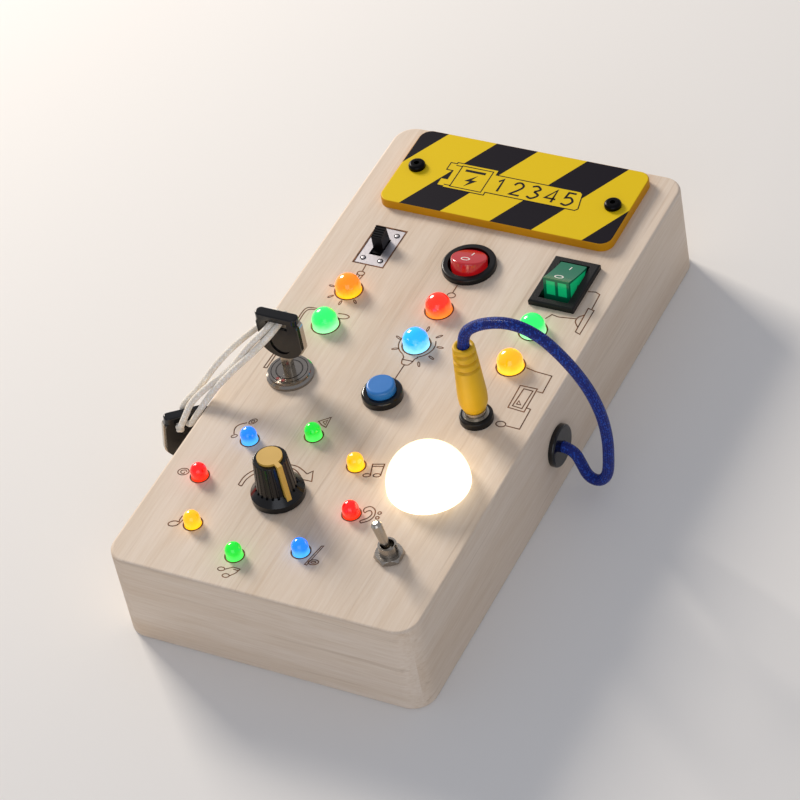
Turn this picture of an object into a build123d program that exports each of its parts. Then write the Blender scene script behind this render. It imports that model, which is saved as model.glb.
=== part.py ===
from build123d import *
import math
import os

# Wooden busy board: a hollow wooden block whose top panel carries switches, a
# key lock, a plug and socket on a cord, a rotary knob, a toggle, a dome lamp
# and fourteen coloured lamps. Millimetres. The origin is the centre of the
# underside, +X is the side with the cord grommet, +Y the end with the striped
# sign plate, +Z is up. Names that end in _r are radii. Heights of the pieces
# in the panel are counted from the panel's top face, and depths below it.

# ---- board: the wooden block
board_width = 100.0
board_length = 200.0
board_height = 32.5
board_corner = 7.0
board_top_edge = 1.0
board_bottom_edge = 0.5
panel_thickness = 5.0
cut_spare = 1.0
side_wall = 8.0
hollow_corner = 14.0

# ---- base cover, let into the underside, and its screws
cover_thickness = 3.0
cover_rim = 4.0
cover_corner = 3.0
cover_gap = 0.2
cover_screw_inset = 10.0
screw_shank_r = 1.25
screw_head_r = 2.6
screw_head_height = 1.5
screw_length = 9.0
screw_gap = 0.1
screw_spare_depth = 0.5

# ---- battery box in the cover, three cells side by side
battery_end_gap = 1.65
cell_count = 3
cell_r = 5.25
cell_length = 44.5
cell_nub_r = 1.9
cell_nub_height = 1.0
cell_gap = 0.3
cell_above_door = 0.4
contact_thickness = 0.4
contact_width = 7.0
contact_height = 8.0
contact_spring_height = 1.7
contact_spring_r = 2.4
box_wall = 2.0
box_roof = 1.5
box_screw_block = 9.0
box_gap = 0.2
box_ear_length = 5.0
box_ear_width = 24.0
box_ear_thickness = 1.6
door_rim = 1.0
door_thickness = 1.6
door_gap = 0.15
door_tab_width = 8.0
door_tab_thickness = 0.8
door_tab_reach = 0.6

# ---- striped sign plate and its two screws
sign_side_margin = 10.0
sign_depth = 35.3
sign_thickness = 3.0
sign_corner = 4.0
sign_edge = 0.5
sign_end_margin = 3.15
sign_screw_inset = 6.0
sign_screw_head_r = 2.75
sign_screw_head_height = 1.7
sign_screw_r = 1.5
sign_screw_grip = 4.0
sign_screw_socket = 1.6
sign_screw_socket_depth = 0.9

# ---- slide switch, let into the panel
slide_inset = 19.4
slide_offset = 0.2
slide_plate_width = 9.9
slide_plate_length = 16.9
slide_plate_thickness = 0.5
slide_plate_sink = 0.1
slide_plate_gap = 0.4
slide_rivet_r = 0.75
slide_rivet_inset_x = 1.95
slide_rivet_inset_y = 2.45
slide_body_width = 7.0
slide_body_length = 12.0
slide_body_depth = 8.0
slide_body_gap = 0.2
slide_knob_width = 3.5
slide_knob_front = 2.4
slide_knob_back = 2.6
slide_knob_front_height = 4.8
slide_knob_peak = 1.6
slide_knob_height = 6.2
slide_knob_ridges = 5
slide_knob_groove = 0.35
slide_slot_gap = 0.3
slide_travel = 2.4
slide_shoe_width = 4.6
slide_shoe_length = 7.4
slide_shoe_height = 1.4
slide_shoe_gap = 0.1

# ---- what both rocker switches share
rocker_pivot_height = 1.0
rocker_tilt = 20.0
rocker_pin_r = 0.6
rocker_pin_gap = 0.05
rocker_body_depth = 14.0
rocker_clip_height = 2.6
rocker_clip_reach = 0.7
rocker_clip_root = 0.3

# ---- round red rocker switch
round_x = 0.7
round_offset = -0.2
round_bezel_r = 8.6
round_bezel_height = 2.0
round_bezel_edge = 0.7
round_body_r = 7.3
round_body_gap = 0.1
round_mouth_r = 6.6
round_chamber_depth = 7.0
round_rocker_r = 5.7
round_rocker_height = 4.3
round_rocker_edge = 0.6
round_rocker_drop = 3.5
round_pin_seat = 0.5

# ---- rectangular green rocker switch
rect_inset = 17.1
rect_behind_battery = 0.15
rect_frame_width = 15.0
rect_frame_length = 21.0
rect_frame_height = 2.0
rect_frame_edge = 0.4
rect_body_width = 13.0
rect_body_length = 19.0
rect_body_gap = 0.2
rect_mouth_width = 9.9
rect_mouth_length = 17.0
rect_chamber_depth = 6.5
rect_rocker_width = 8.6
rect_rocker_top = 13.2
rect_rocker_foot = 9.9
rect_rocker_height = 4.0
rect_rocker_drop = 3.9
rect_rocker_dish = 0.35
rect_window_depth = 0.3
rect_window_border = 0.9
rect_window_height = 5.0
rect_pin_seat = 0.7

# ---- solder terminals under the switches
spade_width = 4.8
spade_thickness = 0.8
spade_length = 6.5
spade_spacing = 6.0
pin_width = 1.2
pin_thickness = 0.6
pin_length = 4.0
pin_spacing = 3.5

# ---- blue push button
button_x = 0.0
button_row = 0.165837
button_bezel_r = 6.3
button_bezel_height = 2.6
button_bezel_edge = 0.9
button_barrel_r = 5.0
button_barrel_gap = 0.15
button_depth = 14.0
button_mouth_r = 4.6
button_bottom_gap = 0.6
button_cap_r = 4.4
button_cap_height = 5.2
button_cap_edge = 0.8
button_cap_wall = 0.9
button_cap_roof = 1.6
button_skirt_drop = 1.0
button_travel = 2.0
button_stem_r = 1.4
button_stem_gap = 0.1
button_stem_drop = 6.0
button_well_gap = 0.8
button_spring_r = 2.5
button_spring_wire_r = 0.22
button_spring_turns = 3.5
button_nut_flats = 14.0
button_nut_height = 2.5

# ---- key lock
lock_inset = 18.7
lock_flange_r = 7.35
lock_flange_height = 0.9
lock_ring_r = 6.5
lock_ring_height = 2.3
lock_barrel_r = 5.9
lock_barrel_gap = 0.15
lock_depth = 16.0
lock_plug_r = 3.85
lock_plug_gap = 0.08
lock_plug_depth = 10.0
lock_end_gap = 0.3
lock_nut_flats = 15.0
lock_nut_height = 2.5
nut_thread_gap = 0.05

# ---- key, drawn with its top at zero, its width along X, thickness along Y
key_bar_width = 14.0
key_bar_height = 2.15
key_bar_depth = 3.6
key_bar_edge = 0.5
key_cover_width = 13.8
key_cover_thickness = 1.1
key_metal_thickness = 1.9
key_metal_border = 0.5
key_slot_width = 7.0
key_slot_height = 2.8
key_side_length = 10.4
key_toe_drop = 4.3
key_toe_corner = 1.6
key_neck_width = 3.5
key_neck_thickness = 2.4
key_neck_length = 6.0
key_blade_width = 2.5
key_blade_thickness = 1.2
key_blade_length = 6.0
key_recess_width = 7.0
key_recess_height = 8.6
key_recess_depth = 0.45
key_bar_behind = 0.3
key_neck_corner = 0.7
keyway_gap = 0.12
keyway_spare_depth = 1.2

# ---- spare key hanging at the board's side: where its top centre is
spare_out = 7.0
spare_forward = 21.2
spare_drop = 3.1
spare_yaw = 46.0
spare_roll = 8.6

# ---- socket and plug
jack_inset = 18.8
jack_offset = -0.2
jack_barrel_r = 4.0
jack_barrel_gap = 0.1
jack_barrel_height = 2.6
jack_body_r = 5.6
jack_depth = 14.0
jack_ring_r = 5.1
jack_ring_height = 2.3
jack_ring_edge = 0.5
jack_bore_gap = 0.08
jack_bore_spare = 1.0
plug_tip_r = 1.75
plug_tip_length = 13.6
plug_tip_groove = 0.35
plug_tip_groove_at = 4.0
plug_collar_r = 3.4
plug_collar_height = 2.0
plug_shell_foot_r = 4.15
plug_shell_head_r = 3.3
plug_shell_length = 25.1
plug_shell_edge = 0.5
plug_relief_count = 3
plug_relief_first = 17.4
plug_relief_pitch = 2.1
plug_relief_width = 0.7
plug_relief_depth = 0.8
plug_relief_spine = 3.0
plug_socket_depth = 3.0

# ---- plug cord and its grommet in the side wall
cord_r = 1.75
cord_gap = 0.05
grommet_back = 11.4
grommet_flange_r = 6.7
grommet_flange_height = 1.8
grommet_edge = 0.7
grommet_neck_r = 5.0
grommet_neck_gap = 0.1
grommet_lip_r = 5.9
grommet_lip_thickness = 1.3
grommet_bore_r = 1.3
grommet_seat_depth = 2.8

# ---- rotary encoder and its knob
knob_offset_x = 1.2
knob_offset_y = 0.3
encoder_width = 12.0
encoder_length = 12.5
encoder_bushing_r = 3.5
encoder_bushing_gap = 0.1
encoder_shaft_r = 3.0
encoder_shaft_gap = 0.08
encoder_shaft_flat = 1.5
encoder_shaft_foot = 3.0
encoder_shaft_top = 12.0
knob_float = 0.3
knob_skirt_r = 8.05
knob_skirt_height = 2.3
knob_foot_r = 6.0
knob_foot_height = 4.6
knob_head_r = 5.1
knob_head_height = 15.4
knob_head_edge = 0.4
knob_flutes = 22
knob_flute_r = 0.4
knob_hollow_r = 6.8
knob_hollow_height = 1.7
knob_bore_spare = 0.5
knob_cap_r = 3.8
knob_cap_sink = 0.6
knob_cap_height = 16.2
knob_pointer_angle = -31.0
knob_pointer_width = 1.5
knob_pointer_foot_reach = 7.2
knob_pointer_head_reach = 5.9
knob_pointer_depth = 1.9
knob_pointer_foot = 3.0
knob_pointer_gap = 0.03

# ---- toggle switch
toggle_inset = 19.3
toggle_front = 26.3
toggle_body_length = 13.0
toggle_body_width = 8.0
toggle_body_depth = 10.0
toggle_bushing_r = 2.75
toggle_bushing_gap = 0.1
toggle_bushing_height = 5.0
toggle_bore_r = 2.1
toggle_nut_flats = 8.0
toggle_nut_height = 1.4
toggle_nut_bevel_r = 4.96
toggle_washer_height = 0.4
toggle_keyway_width = 1.1
toggle_keyway_depth = 0.5
toggle_pivot_height = 2.4
toggle_ball_r = 2.0
toggle_lever_foot_r = 1.2
toggle_lever_head_r = 1.6
toggle_lever_length = 10.9
toggle_stem_r = 0.7
toggle_stem_length = 4.6
toggle_tip_bevel = 0.6
toggle_tip_crown = 0.3
toggle_tip_r = 0.64
toggle_well_spare = 1.0
toggle_pin_r = 0.5
toggle_pin_reach = 2.45
toggle_pin_gap = 0.05
toggle_half_throw = 12.5

# ---- dome lamp
dome_inset = 21.0
dome_front = 55.7
dome_r = 12.5
dome_foot = 0.6
dome_wall = 1.5
dome_collar_r = 11.0
dome_collar_wall = 1.5
dome_collar_gap = 0.15
light_board_width = 16.0
light_board_length = 37.0
light_board_corner = 3.0
light_chip = 5.0
light_chip_height = 1.4
light_screw_inset = 3.7

# ---- circuit boards on spacers under the panel
spacer_height = 6.5
spacer_r = 2.5
board_sheet = 1.6
board_screw_r = 1.0
board_screw_head_r = 1.9
board_screw_head_height = 1.3
board_screw_grip = 3.0
board_screw_gap = 0.05
ring_side_gap = 1.0
ring_front_gap = 1.3
ring_light_gap = 5.0
ring_lamp_inset = 3.3
ring_screw_share = 0.595238
ring_screw_count = 3
controller_row = 0.693201
controller_side_gap = 1.0
controller_share = 0.464345
controller_corner = 2.0
controller_screw_inset = 3.0
chip_width = 9.0
chip_depth = 6.0
chip_height = 1.5

# ---- coloured lamps
small_lamp_r = 2.5
small_lamp_flange_r = 2.9
small_lamp_flange = 1.0
small_lamp_length = 8.6
small_lamp_height = 4.8
large_lamp_r = 4.0
large_lamp_flange_r = 4.6
large_lamp_flange = 1.5
large_lamp_length = 11.0
large_lamp_height = 6.0
lamp_hole_gap = 0.15
lamp_seat_gap = 0.2
lead_size = 0.5
lead_spacing = 2.54
large_lamp_left_inset = 18.9
large_lamp_middle_x = 0.0
large_lamp_right_inset = 18.5
large_lamp_back_row = 0.814262
large_lamp_front_row = 0.548922
red_angles = [180.0, 0.0]
blue_angles = [135.0, -45.0]
green_angles = [90.0, -90.0]
yellow_angles = [45.0, -135.0]

# ---- lanyard that ties the two keys together
lanyard_r = 1.0
knot_r = 1.7
knot_length = 3.0

# ---- levels and places worked out from the sizes above
panel_under = -panel_thickness
sheet_top = panel_under - spacer_height
sheet_under = sheet_top - board_sheet
key_length = (key_bar_height + key_side_length + key_toe_drop + key_neck_length
              + key_blade_length)

# The battery box is as long as its cells and contacts, with a solid block for
# the door's screw at its +X end.
pocket_length = cell_length + 2 * contact_thickness + contact_spring_height
pocket_width = cell_count * 2 * cell_r + (cell_count + 1) * cell_gap
box_length = pocket_length + box_wall + box_screw_block
box_width = pocket_width + 2 * box_wall
pocket_left = -box_length / 2 + box_wall
pocket_right = pocket_left + pocket_length
door_screw_x = (pocket_right + box_length / 2 - door_rim) / 2
cell_level = door_thickness + cell_above_door + cell_r
pocket_top = cell_level + cell_r + cell_gap
box_top = pocket_top + box_roof

# Fittings beside a long edge keep their inset from it. The back ones keep
# their distance from the board's +Y end, the front ones from its -Y end.
side_x = board_width / 2
end_y = board_length / 2
hollow_x = side_x - side_wall
hollow_y = end_y - side_wall
battery_y = hollow_y - battery_end_gap - box_width / 2
sign_width = board_width - 2 * sign_side_margin
sign_y = end_y - sign_end_margin - sign_depth / 2
sign_screw_x = sign_width / 2 - sign_screw_inset
rect_x = side_x - rect_inset
rect_y = battery_y - box_width / 2 - rect_behind_battery - rect_body_length / 2
slide_x = slide_inset - side_x
slide_y = rect_y + slide_offset
round_y = rect_y + round_offset
toggle_x = side_x - toggle_inset
toggle_y = toggle_front - end_y
dome_x = side_x - dome_inset
dome_y = dome_front - end_y
light_screw_offset = light_board_length / 2 - light_screw_inset
light_left = dome_x - light_board_width / 2
ring_board_r = (light_left - ring_light_gap + hollow_x - ring_side_gap) / 2
ring_x = ring_board_r + ring_side_gap - hollow_x
ring_y = ring_board_r + ring_front_gap - hollow_y
ring_lamp_r = ring_board_r - ring_lamp_inset
ring_screw_r = ring_lamp_r * ring_screw_share
knob_x = ring_x + knob_offset_x
knob_y = ring_y + knob_offset_y

# The rows between the dome's circuit board and the rocker switches share that
# space out: each row is so much of the way across it.
middle_front = dome_y + light_board_length / 2
middle_space = rect_y - rect_body_length / 2 - middle_front
button_y = middle_front + button_row * middle_space
lock_x = lock_inset - side_x
lock_y = button_y
jack_x = side_x - jack_inset
jack_y = button_y + jack_offset
grommet_y = jack_y + grommet_back
grommet_z = board_height / 2
large_lamp_left_x = large_lamp_left_inset - side_x
large_lamp_right_x = side_x - large_lamp_right_inset
large_lamp_back_y = middle_front + large_lamp_back_row * middle_space
large_lamp_front_y = middle_front + large_lamp_front_row * middle_space
controller_y = middle_front + controller_row * middle_space
controller_width = 2 * (hollow_x - controller_side_gap)
controller_depth = controller_share * middle_space
controller_screw_x = controller_width / 2 - controller_screw_inset
controller_screw_y = controller_depth / 2 - controller_screw_inset
spare_x = -side_x - spare_out
spare_y = lock_y - spare_forward
spare_z = board_height - spare_drop

# Routes of the two cords, along their centre lines, from end to end. The plug
# cord is counted from the socket and the lanyard from the lock, both from the
# panel's top face.
plug_cord_route = [
    (0.0, 0.0, 26.7), (0.0, 0.0, 34.7), (6.8, 1.1, 39.5), (15.8, 2.6, 40.9),
    (24.0, 4.1, 36.9), (30.0, 5.4, 28.1), (34.5, 6.8, 17.5), (37.0, 8.1, 6.0),
    (37.4, 9.2, -5.5), (35.7, 10.1, -17.0), (32.4, 10.8, -26.3), (27.5, 11.2, -26.9),
    (24.6, 11.4, -16.25), (16.0, 11.4, -16.25),
]
lanyard_route = [
    (0.7, 3.6, 21.6), (0.5, -3.4, 21.5), (-4.7, -7.4, 15.9), (-11.3, -12.4, 10.1),
    (-16.9, -17.0, 4.3), (-21.3, -22.4, -2.5), (-23.75, -23.8, -6.5), (-28.5, -19.2, -6.5),
    (-28.1, -19.0, -2.9), (-22.9, -15.4, 2.3), (-18.3, -11.6, 9.1), (-13.3, -5.6, 14.1),
    (-9.1, 3.4, 15.1), (-4.7, 5.2, 20.5), (-1.7, 3.8, 21.8), (-1.9, -3.4, 21.6),
    (-7.1, -6.8, 16.9), (-12.9, -11.6, 8.9), (-18.1, -15.8, 5.7), (-23.3, -20.6, 1.1),
    (-23.9, -24.3, -1.7), (-25.45, -26.36, -5.4),
]


# ---- helpers
def rod(radius, bottom, top):
    """Cylinder on the Z axis between two heights."""
    return Pos(0, 0, (bottom + top) / 2) * Cylinder(radius, top - bottom)


def block(width, length, bottom, top):
    """Box centred on the Z axis between two heights."""
    return Pos(0, 0, (bottom + top) / 2) * Box(width, length, top - bottom)


def rounded(width, length, corner, bottom, top):
    """Box with rounded upright edges between two heights."""
    return Pos(0, 0, bottom) * extrude(RectangleRounded(width, length, corner), top - bottom)


def hexagon(flats, bottom, top):
    """Hexagonal prism, measured across its flats."""
    outline = RegularPolygon(flats / 2, 6, major_radius=False)
    return Pos(0, 0, bottom) * extrude(outline, top - bottom)


def turned(*corners):
    """Solid of revolution about Z from its (radius, height) corners."""
    return revolve(Plane.XZ * make_face(Polyline(*corners, close=True)), Axis.Z)


def on_panel(x, y):
    """Place on the panel's top face."""
    return Pos(x, y, board_height)


def top_edges(shape):
    """Edges of the highest face."""
    return shape.faces().sort_by(Axis.Z)[-1].edges()


def save(node, *shapes):
    """Write every solid of the given shapes into one node's file."""
    solids = []
    for shape in shapes:
        solids.extend(shape.solids())
    whole = solids[0] if len(solids) == 1 else Compound(solids)
    export_step(whole, os.path.join("parts", node + ".step"))


# ---- where the repeated pieces stand
def cover_screw_places():
    """Corners of the base cover."""
    x = board_width / 2 - cover_screw_inset
    y = board_length / 2 - cover_screw_inset
    return [Pos(side * x, end * y, 0) for side in (-1, 1) for end in (-1, 1)]


def ring_places(angles):
    """Places on the ring of small lamps at the given angles."""
    places = []
    for angle in angles:
        turn = math.radians(angle)
        x = ring_x + ring_lamp_r * math.cos(turn)
        y = ring_y + ring_lamp_r * math.sin(turn)
        places.append(on_panel(x, y))
    return places


def large_lamp_places():
    """Places of the six large lamps, by colour."""
    return {
        "amber": [on_panel(large_lamp_left_x, large_lamp_back_y)],
        "green": [on_panel(large_lamp_left_x, large_lamp_front_y),
                  on_panel(large_lamp_right_x, large_lamp_back_y)],
        "red": [on_panel(large_lamp_middle_x, large_lamp_back_y)],
        "blue": [on_panel(large_lamp_middle_x, large_lamp_front_y)],
        "yellow": [on_panel(large_lamp_right_x, large_lamp_front_y)],
    }


def all_small_places():
    """Places of the eight small lamps."""
    return ring_places(red_angles + blue_angles + green_angles + yellow_angles)


def all_large_places():
    """Places of the six large lamps in one list."""
    return [place for group in large_lamp_places().values() for place in group]


def spacer_places():
    """Places of the spacers that carry the three circuit boards."""
    places = []
    for index in range(ring_screw_count):
        turn = math.radians(90 + 360 * index / ring_screw_count)
        x = ring_x + ring_screw_r * math.cos(turn)
        y = ring_y + ring_screw_r * math.sin(turn)
        places.append(on_panel(x, y))
    for side in (-1, 1):
        for end in (-1, 1):
            x = side * controller_screw_x
            y = controller_y + end * controller_screw_y
            places.append(on_panel(x, y))
    for end in (-1, 1):
        places.append(on_panel(dome_x, dome_y + end * light_screw_offset))
    return places


def spare_key_place():
    """Place of the spare key, hanging from the lanyard."""
    return Pos(spare_x, spare_y, spare_z) * Rot(0, 0, spare_yaw) * Rot(0, spare_roll, 0)


def lock_key_place():
    """Place of the key that stands in the lock, by its top centre."""
    return on_panel(lock_x, lock_y) * Pos(0, 0, lock_ring_height - key_blade_length + key_length)


# ---- wooden block, base cover, battery box
def panel_cuts():
    """Everything that is cut through or into the top panel."""
    below = panel_under - cut_spare
    cuts = []
    recess = block(slide_plate_width + 2 * slide_plate_gap,
                   slide_plate_length + 2 * slide_plate_gap,
                   -slide_plate_sink - slide_plate_thickness, cut_spare)
    well = block(slide_body_width + 2 * slide_body_gap,
                 slide_body_length + 2 * slide_body_gap, below, cut_spare)
    cuts.append(on_panel(slide_x, slide_y) * (recess + well))
    cuts.append(on_panel(round_x, round_y) * rod(round_body_r + round_body_gap, below, cut_spare))
    cuts.append(on_panel(rect_x, rect_y) * block(rect_body_width + 2 * rect_body_gap,
                                                 rect_body_length + 2 * rect_body_gap,
                                                 below, cut_spare))
    cuts.append(on_panel(button_x, button_y)
                * rod(button_barrel_r + button_barrel_gap, below, cut_spare))
    cuts.append(on_panel(lock_x, lock_y) * rod(lock_barrel_r + lock_barrel_gap, below, cut_spare))
    cuts.append(on_panel(jack_x, jack_y) * rod(jack_barrel_r + jack_barrel_gap, below, cut_spare))
    cuts.append(on_panel(knob_x, knob_y)
                * rod(encoder_bushing_r + encoder_bushing_gap, below, cut_spare))
    cuts.append(on_panel(toggle_x, toggle_y)
                * rod(toggle_bushing_r + toggle_bushing_gap, below, cut_spare))
    cuts.append(on_panel(dome_x, dome_y) * rod(dome_collar_r + dome_collar_gap, below, cut_spare))
    small = lamp_hole(small_lamp_r, small_lamp_flange_r, small_lamp_height,
                      small_lamp_length, small_lamp_flange)
    large = lamp_hole(large_lamp_r, large_lamp_flange_r, large_lamp_height,
                      large_lamp_length, large_lamp_flange)
    cuts += [place * small for place in all_small_places()]
    cuts += [place * large for place in all_large_places()]
    pilot = rod(board_screw_r + board_screw_gap, below,
                panel_under + board_screw_grip + board_screw_gap)
    cuts += [place * pilot for place in spacer_places()]
    sign_pilot = rod(sign_screw_r + screw_gap, -sign_screw_grip - screw_gap, cut_spare)
    cuts += [on_panel(side * sign_screw_x, sign_y) * sign_pilot for side in (-1, 1)]
    return cuts


def lamp_hole(lamp_r, flange_r, height, length, flange):
    """Hole of one lamp, with a wider seat for its flange from below."""
    flange_top = height - length + flange
    below = panel_under - cut_spare
    return (rod(lamp_r + lamp_hole_gap, below, cut_spare)
            + rod(flange_r + lamp_seat_gap, below, flange_top))


def grommet_place():
    """Outer face of the side wall where the cord goes in, facing out."""
    return Pos(board_width / 2, grommet_y, grommet_z) * Rot(0, 90, 0)


def wood_body():
    """The block with its hollow, the cover's seat and every hole."""
    body = rounded(board_width, board_length, board_corner, 0, board_height)
    body = fillet(top_edges(body), board_top_edge)
    body = chamfer(body.faces().sort_by(Axis.Z)[0].edges(), board_bottom_edge)
    body -= rounded(board_width - 2 * side_wall, board_length - 2 * side_wall, hollow_corner,
                    0, board_height - panel_thickness)
    body -= rounded(board_width - 2 * cover_rim, board_length - 2 * cover_rim,
                    cover_corner + cover_gap, 0, cover_thickness)
    body -= panel_cuts()
    pilot = rod(screw_shank_r + screw_gap, 0, screw_length + screw_spare_depth)
    body -= [place * pilot for place in cover_screw_places()]
    body -= grommet_place() * rod(grommet_neck_r + grommet_neck_gap, -side_wall - cut_spare,
                                   cut_spare)
    return body


def countersunk_hole(depth):
    """Hole for a cover screw, with the cone of its head."""
    cone = Pos(0, 0, screw_head_height / 2) * Cone(screw_head_r + screw_gap,
                                                    screw_shank_r + screw_gap,
                                                    screw_head_height)
    return cone + rod(screw_shank_r + screw_gap, 0, depth)


def cover_screw():
    """Countersunk screw, head down, with its cross recess."""
    head = Pos(0, 0, screw_head_height / 2) * Cone(screw_head_r, screw_shank_r,
                                                    screw_head_height)
    screw = head + rod(screw_shank_r, 0, screw_length)
    cross_length = 1.2 * screw_head_r
    cross_width = 0.25 * screw_head_r
    cross_depth = 0.5 * screw_head_height
    screw -= block(cross_length, cross_width, 0, cross_depth)
    screw -= block(cross_width, cross_length, 0, cross_depth)
    return screw


def cell_rows():
    """Offsets across the box of the cells' centre lines."""
    pitch = 2 * cell_r + cell_gap
    return [(index - (cell_count - 1) / 2) * pitch for index in range(cell_count)]


def battery_holder():
    """Box that holds the cells, open below, with ears that seat on the cover."""
    box = block(box_length, box_width, 0, box_top)
    ear_bottom = cover_thickness
    box += block(box_length + 2 * box_ear_length, box_ear_width,
                 ear_bottom, ear_bottom + box_ear_thickness)
    middle = (pocket_left + pocket_right) / 2
    box -= Pos(middle, 0, 0) * block(pocket_length, pocket_width, 0, pocket_top)
    box -= block(box_length - 2 * door_rim, box_width - 2 * door_rim, 0, door_thickness)
    slot_middle = door_thickness / 2
    for row in (-1, 1):
        slot = Box(2 * (door_tab_reach + door_gap), door_tab_width + 2 * door_gap,
                   door_tab_thickness + 2 * door_gap)
        box -= Pos(-box_length / 2 + door_rim, row * box_width / 4, slot_middle) * slot
    box -= Pos(door_screw_x, 0, 0) * rod(screw_shank_r + screw_gap, 0,
                                         screw_length + screw_spare_depth)
    return Pos(0, battery_y, 0) * box


def battery_door():
    """Lid of the battery box: two tabs at one end, one screw at the other."""
    door = block(box_length - 2 * (door_rim + door_gap), box_width - 2 * (door_rim + door_gap),
                 0, door_thickness)
    for row in (-1, 1):
        tab = Box(2 * (door_tab_reach + door_gap), door_tab_width, door_tab_thickness)
        door += Pos(-box_length / 2 + door_rim + door_gap, row * box_width / 4,
                    door_thickness / 2) * tab
    door -= Pos(door_screw_x, 0, 0) * countersunk_hole(door_thickness)
    return Pos(0, battery_y, 0) * door


def base_cover():
    """Thin board that closes the hollow, round the battery box."""
    cover = rounded(board_width - 2 * (cover_rim + cover_gap),
                    board_length - 2 * (cover_rim + cover_gap), cover_corner,
                    0, cover_thickness)
    cover -= [place * countersunk_hole(cover_thickness) for place in cover_screw_places()]
    cover -= Pos(0, battery_y, 0) * block(box_length + 2 * box_gap, box_width + 2 * box_gap,
                                          0, cover_thickness)
    return cover


def battery_cells():
    """Cells side by side, each turned end for end from its neighbour."""
    cells = []
    body_length = cell_length - cell_nub_height
    for index, row in enumerate(cell_rows()):
        way = 1 if index % 2 == 0 else -1
        cell = rod(cell_r, 0, body_length) + rod(cell_nub_r, body_length, cell_length)
        flat_end = pocket_left + contact_thickness + contact_spring_height
        if way < 0:
            flat_end = pocket_right - contact_thickness - contact_spring_height
        place = Pos(flat_end, battery_y + row, cell_level) * Rot(0, 90 * way, 0)
        cells.append(place * cell)
    return cells


def battery_contacts():
    """A plate at each end of each cell, with a raised spring at its flat end."""
    contacts = []
    for index, row in enumerate(cell_rows()):
        way = 1 if index % 2 == 0 else -1
        for side in (-1, 1):
            plate = Pos(0, 0, contact_thickness / 2) * Box(contact_height, contact_width,
                                                            contact_thickness)
            if side == -way:
                height = contact_spring_height
                plate += (Pos(0, 0, contact_thickness + height / 2)
                          * Cone(contact_spring_r, contact_spring_r / 2, height))
            wall = pocket_left if side < 0 else pocket_right
            place = Pos(wall, battery_y + row, cell_level) * Rot(0, -90 * side, 0)
            contacts.append(place * plate)
    return contacts


# ---- sign plate
def sign_plate():
    """Plate with two screw holes and an eased rim."""
    plate = rounded(sign_width, sign_depth, sign_corner, 0, sign_thickness)
    plate = fillet(top_edges(plate), sign_edge)
    hole = rod(sign_screw_r + screw_gap, 0, sign_thickness)
    plate -= [Pos(side * sign_screw_x, 0, 0) * hole for side in (-1, 1)]
    return on_panel(0, sign_y) * plate


def sign_screw():
    """Round-headed screw with a hexagon socket."""
    shank = rod(sign_screw_r, -sign_screw_grip, sign_thickness)
    head = rod(sign_screw_head_r, sign_thickness, sign_thickness + sign_screw_head_height)
    head = fillet(top_edges(head), 0.6 * sign_screw_head_height)
    top = sign_thickness + sign_screw_head_height
    return shank + head - hexagon(sign_screw_socket, top - sign_screw_socket_depth, top)


# ---- slide switch
slide_plate_top = -slide_plate_sink
slide_plate_bottom = slide_plate_top - slide_plate_thickness
slide_chamber_length = slide_shoe_length + slide_travel + 2 * slide_slot_gap
slide_chamber_width = slide_shoe_width + 2 * slide_slot_gap
slide_chamber_depth = slide_shoe_height + 2 * slide_shoe_gap


def slide_switch_plate():
    """Thin metal plate with the slot and four rivet holes."""
    plate = block(slide_plate_width, slide_plate_length, slide_plate_bottom, slide_plate_top)
    plate -= block(slide_knob_width + 2 * slide_slot_gap,
                   slide_knob_front + slide_knob_back + slide_travel + 2 * slide_slot_gap,
                   slide_plate_bottom, slide_plate_top)
    hole = rod(slide_rivet_r, slide_plate_bottom, slide_plate_top)
    x = slide_plate_width / 2 - slide_rivet_inset_x
    y = slide_plate_length / 2 - slide_rivet_inset_y
    plate -= [Pos(side * x, end * y, 0) * hole for side in (-1, 1) for end in (-1, 1)]
    return on_panel(slide_x, slide_y) * plate


def slide_switch_body():
    """Moulded body under the plate, with the chamber that the shoe slides in."""
    body = block(slide_body_width, slide_body_length,
                 slide_plate_bottom - slide_body_depth, slide_plate_bottom)
    body -= block(slide_chamber_width, slide_chamber_length,
                  slide_plate_bottom - slide_chamber_depth, slide_plate_bottom)
    return on_panel(slide_x, slide_y) * body


def slide_switch_slider():
    """Slider at the back of its travel: a shoe, and a knob with ridges across."""
    shoe_top = slide_plate_bottom - slide_shoe_gap
    slider = block(slide_shoe_width, slide_shoe_length, shoe_top - slide_shoe_height, shoe_top)
    outline = Polyline((-slide_knob_front, shoe_top), (-slide_knob_front, slide_knob_front_height),
                       (slide_knob_peak, slide_knob_height), (slide_knob_back, shoe_top),
                       close=True)
    slider += extrude(Plane.YZ * make_face(outline), slide_knob_width / 2, both=True)
    run = slide_knob_peak + slide_knob_front
    rise = slide_knob_height - slide_knob_front_height
    pitch = run / slide_knob_ridges
    slope = math.degrees(math.atan2(rise, run))
    for index in range(slide_knob_ridges):
        along = (index + 0.5) * pitch
        place = (Pos(0, along - slide_knob_front, slide_knob_front_height + along * rise / run)
                 * Rot(slope, 0, 0))
        slider -= place * Box(2 * slide_knob_width, slide_knob_groove, 2 * slide_knob_groove)
    return on_panel(slide_x, slide_y + slide_travel / 2) * slider


# ---- rocker switches
def tilted(place):
    """Rest position of a rocker: its front edge is raised by the tilt."""
    return place * Pos(0, 0, rocker_pivot_height) * Rot(-rocker_tilt, 0, 0)


def pivot_pins(reach):
    """Pin across a rocker, out to the given distance each way."""
    return Rot(0, 90, 0) * rod(rocker_pin_r, -reach, reach)


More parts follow.
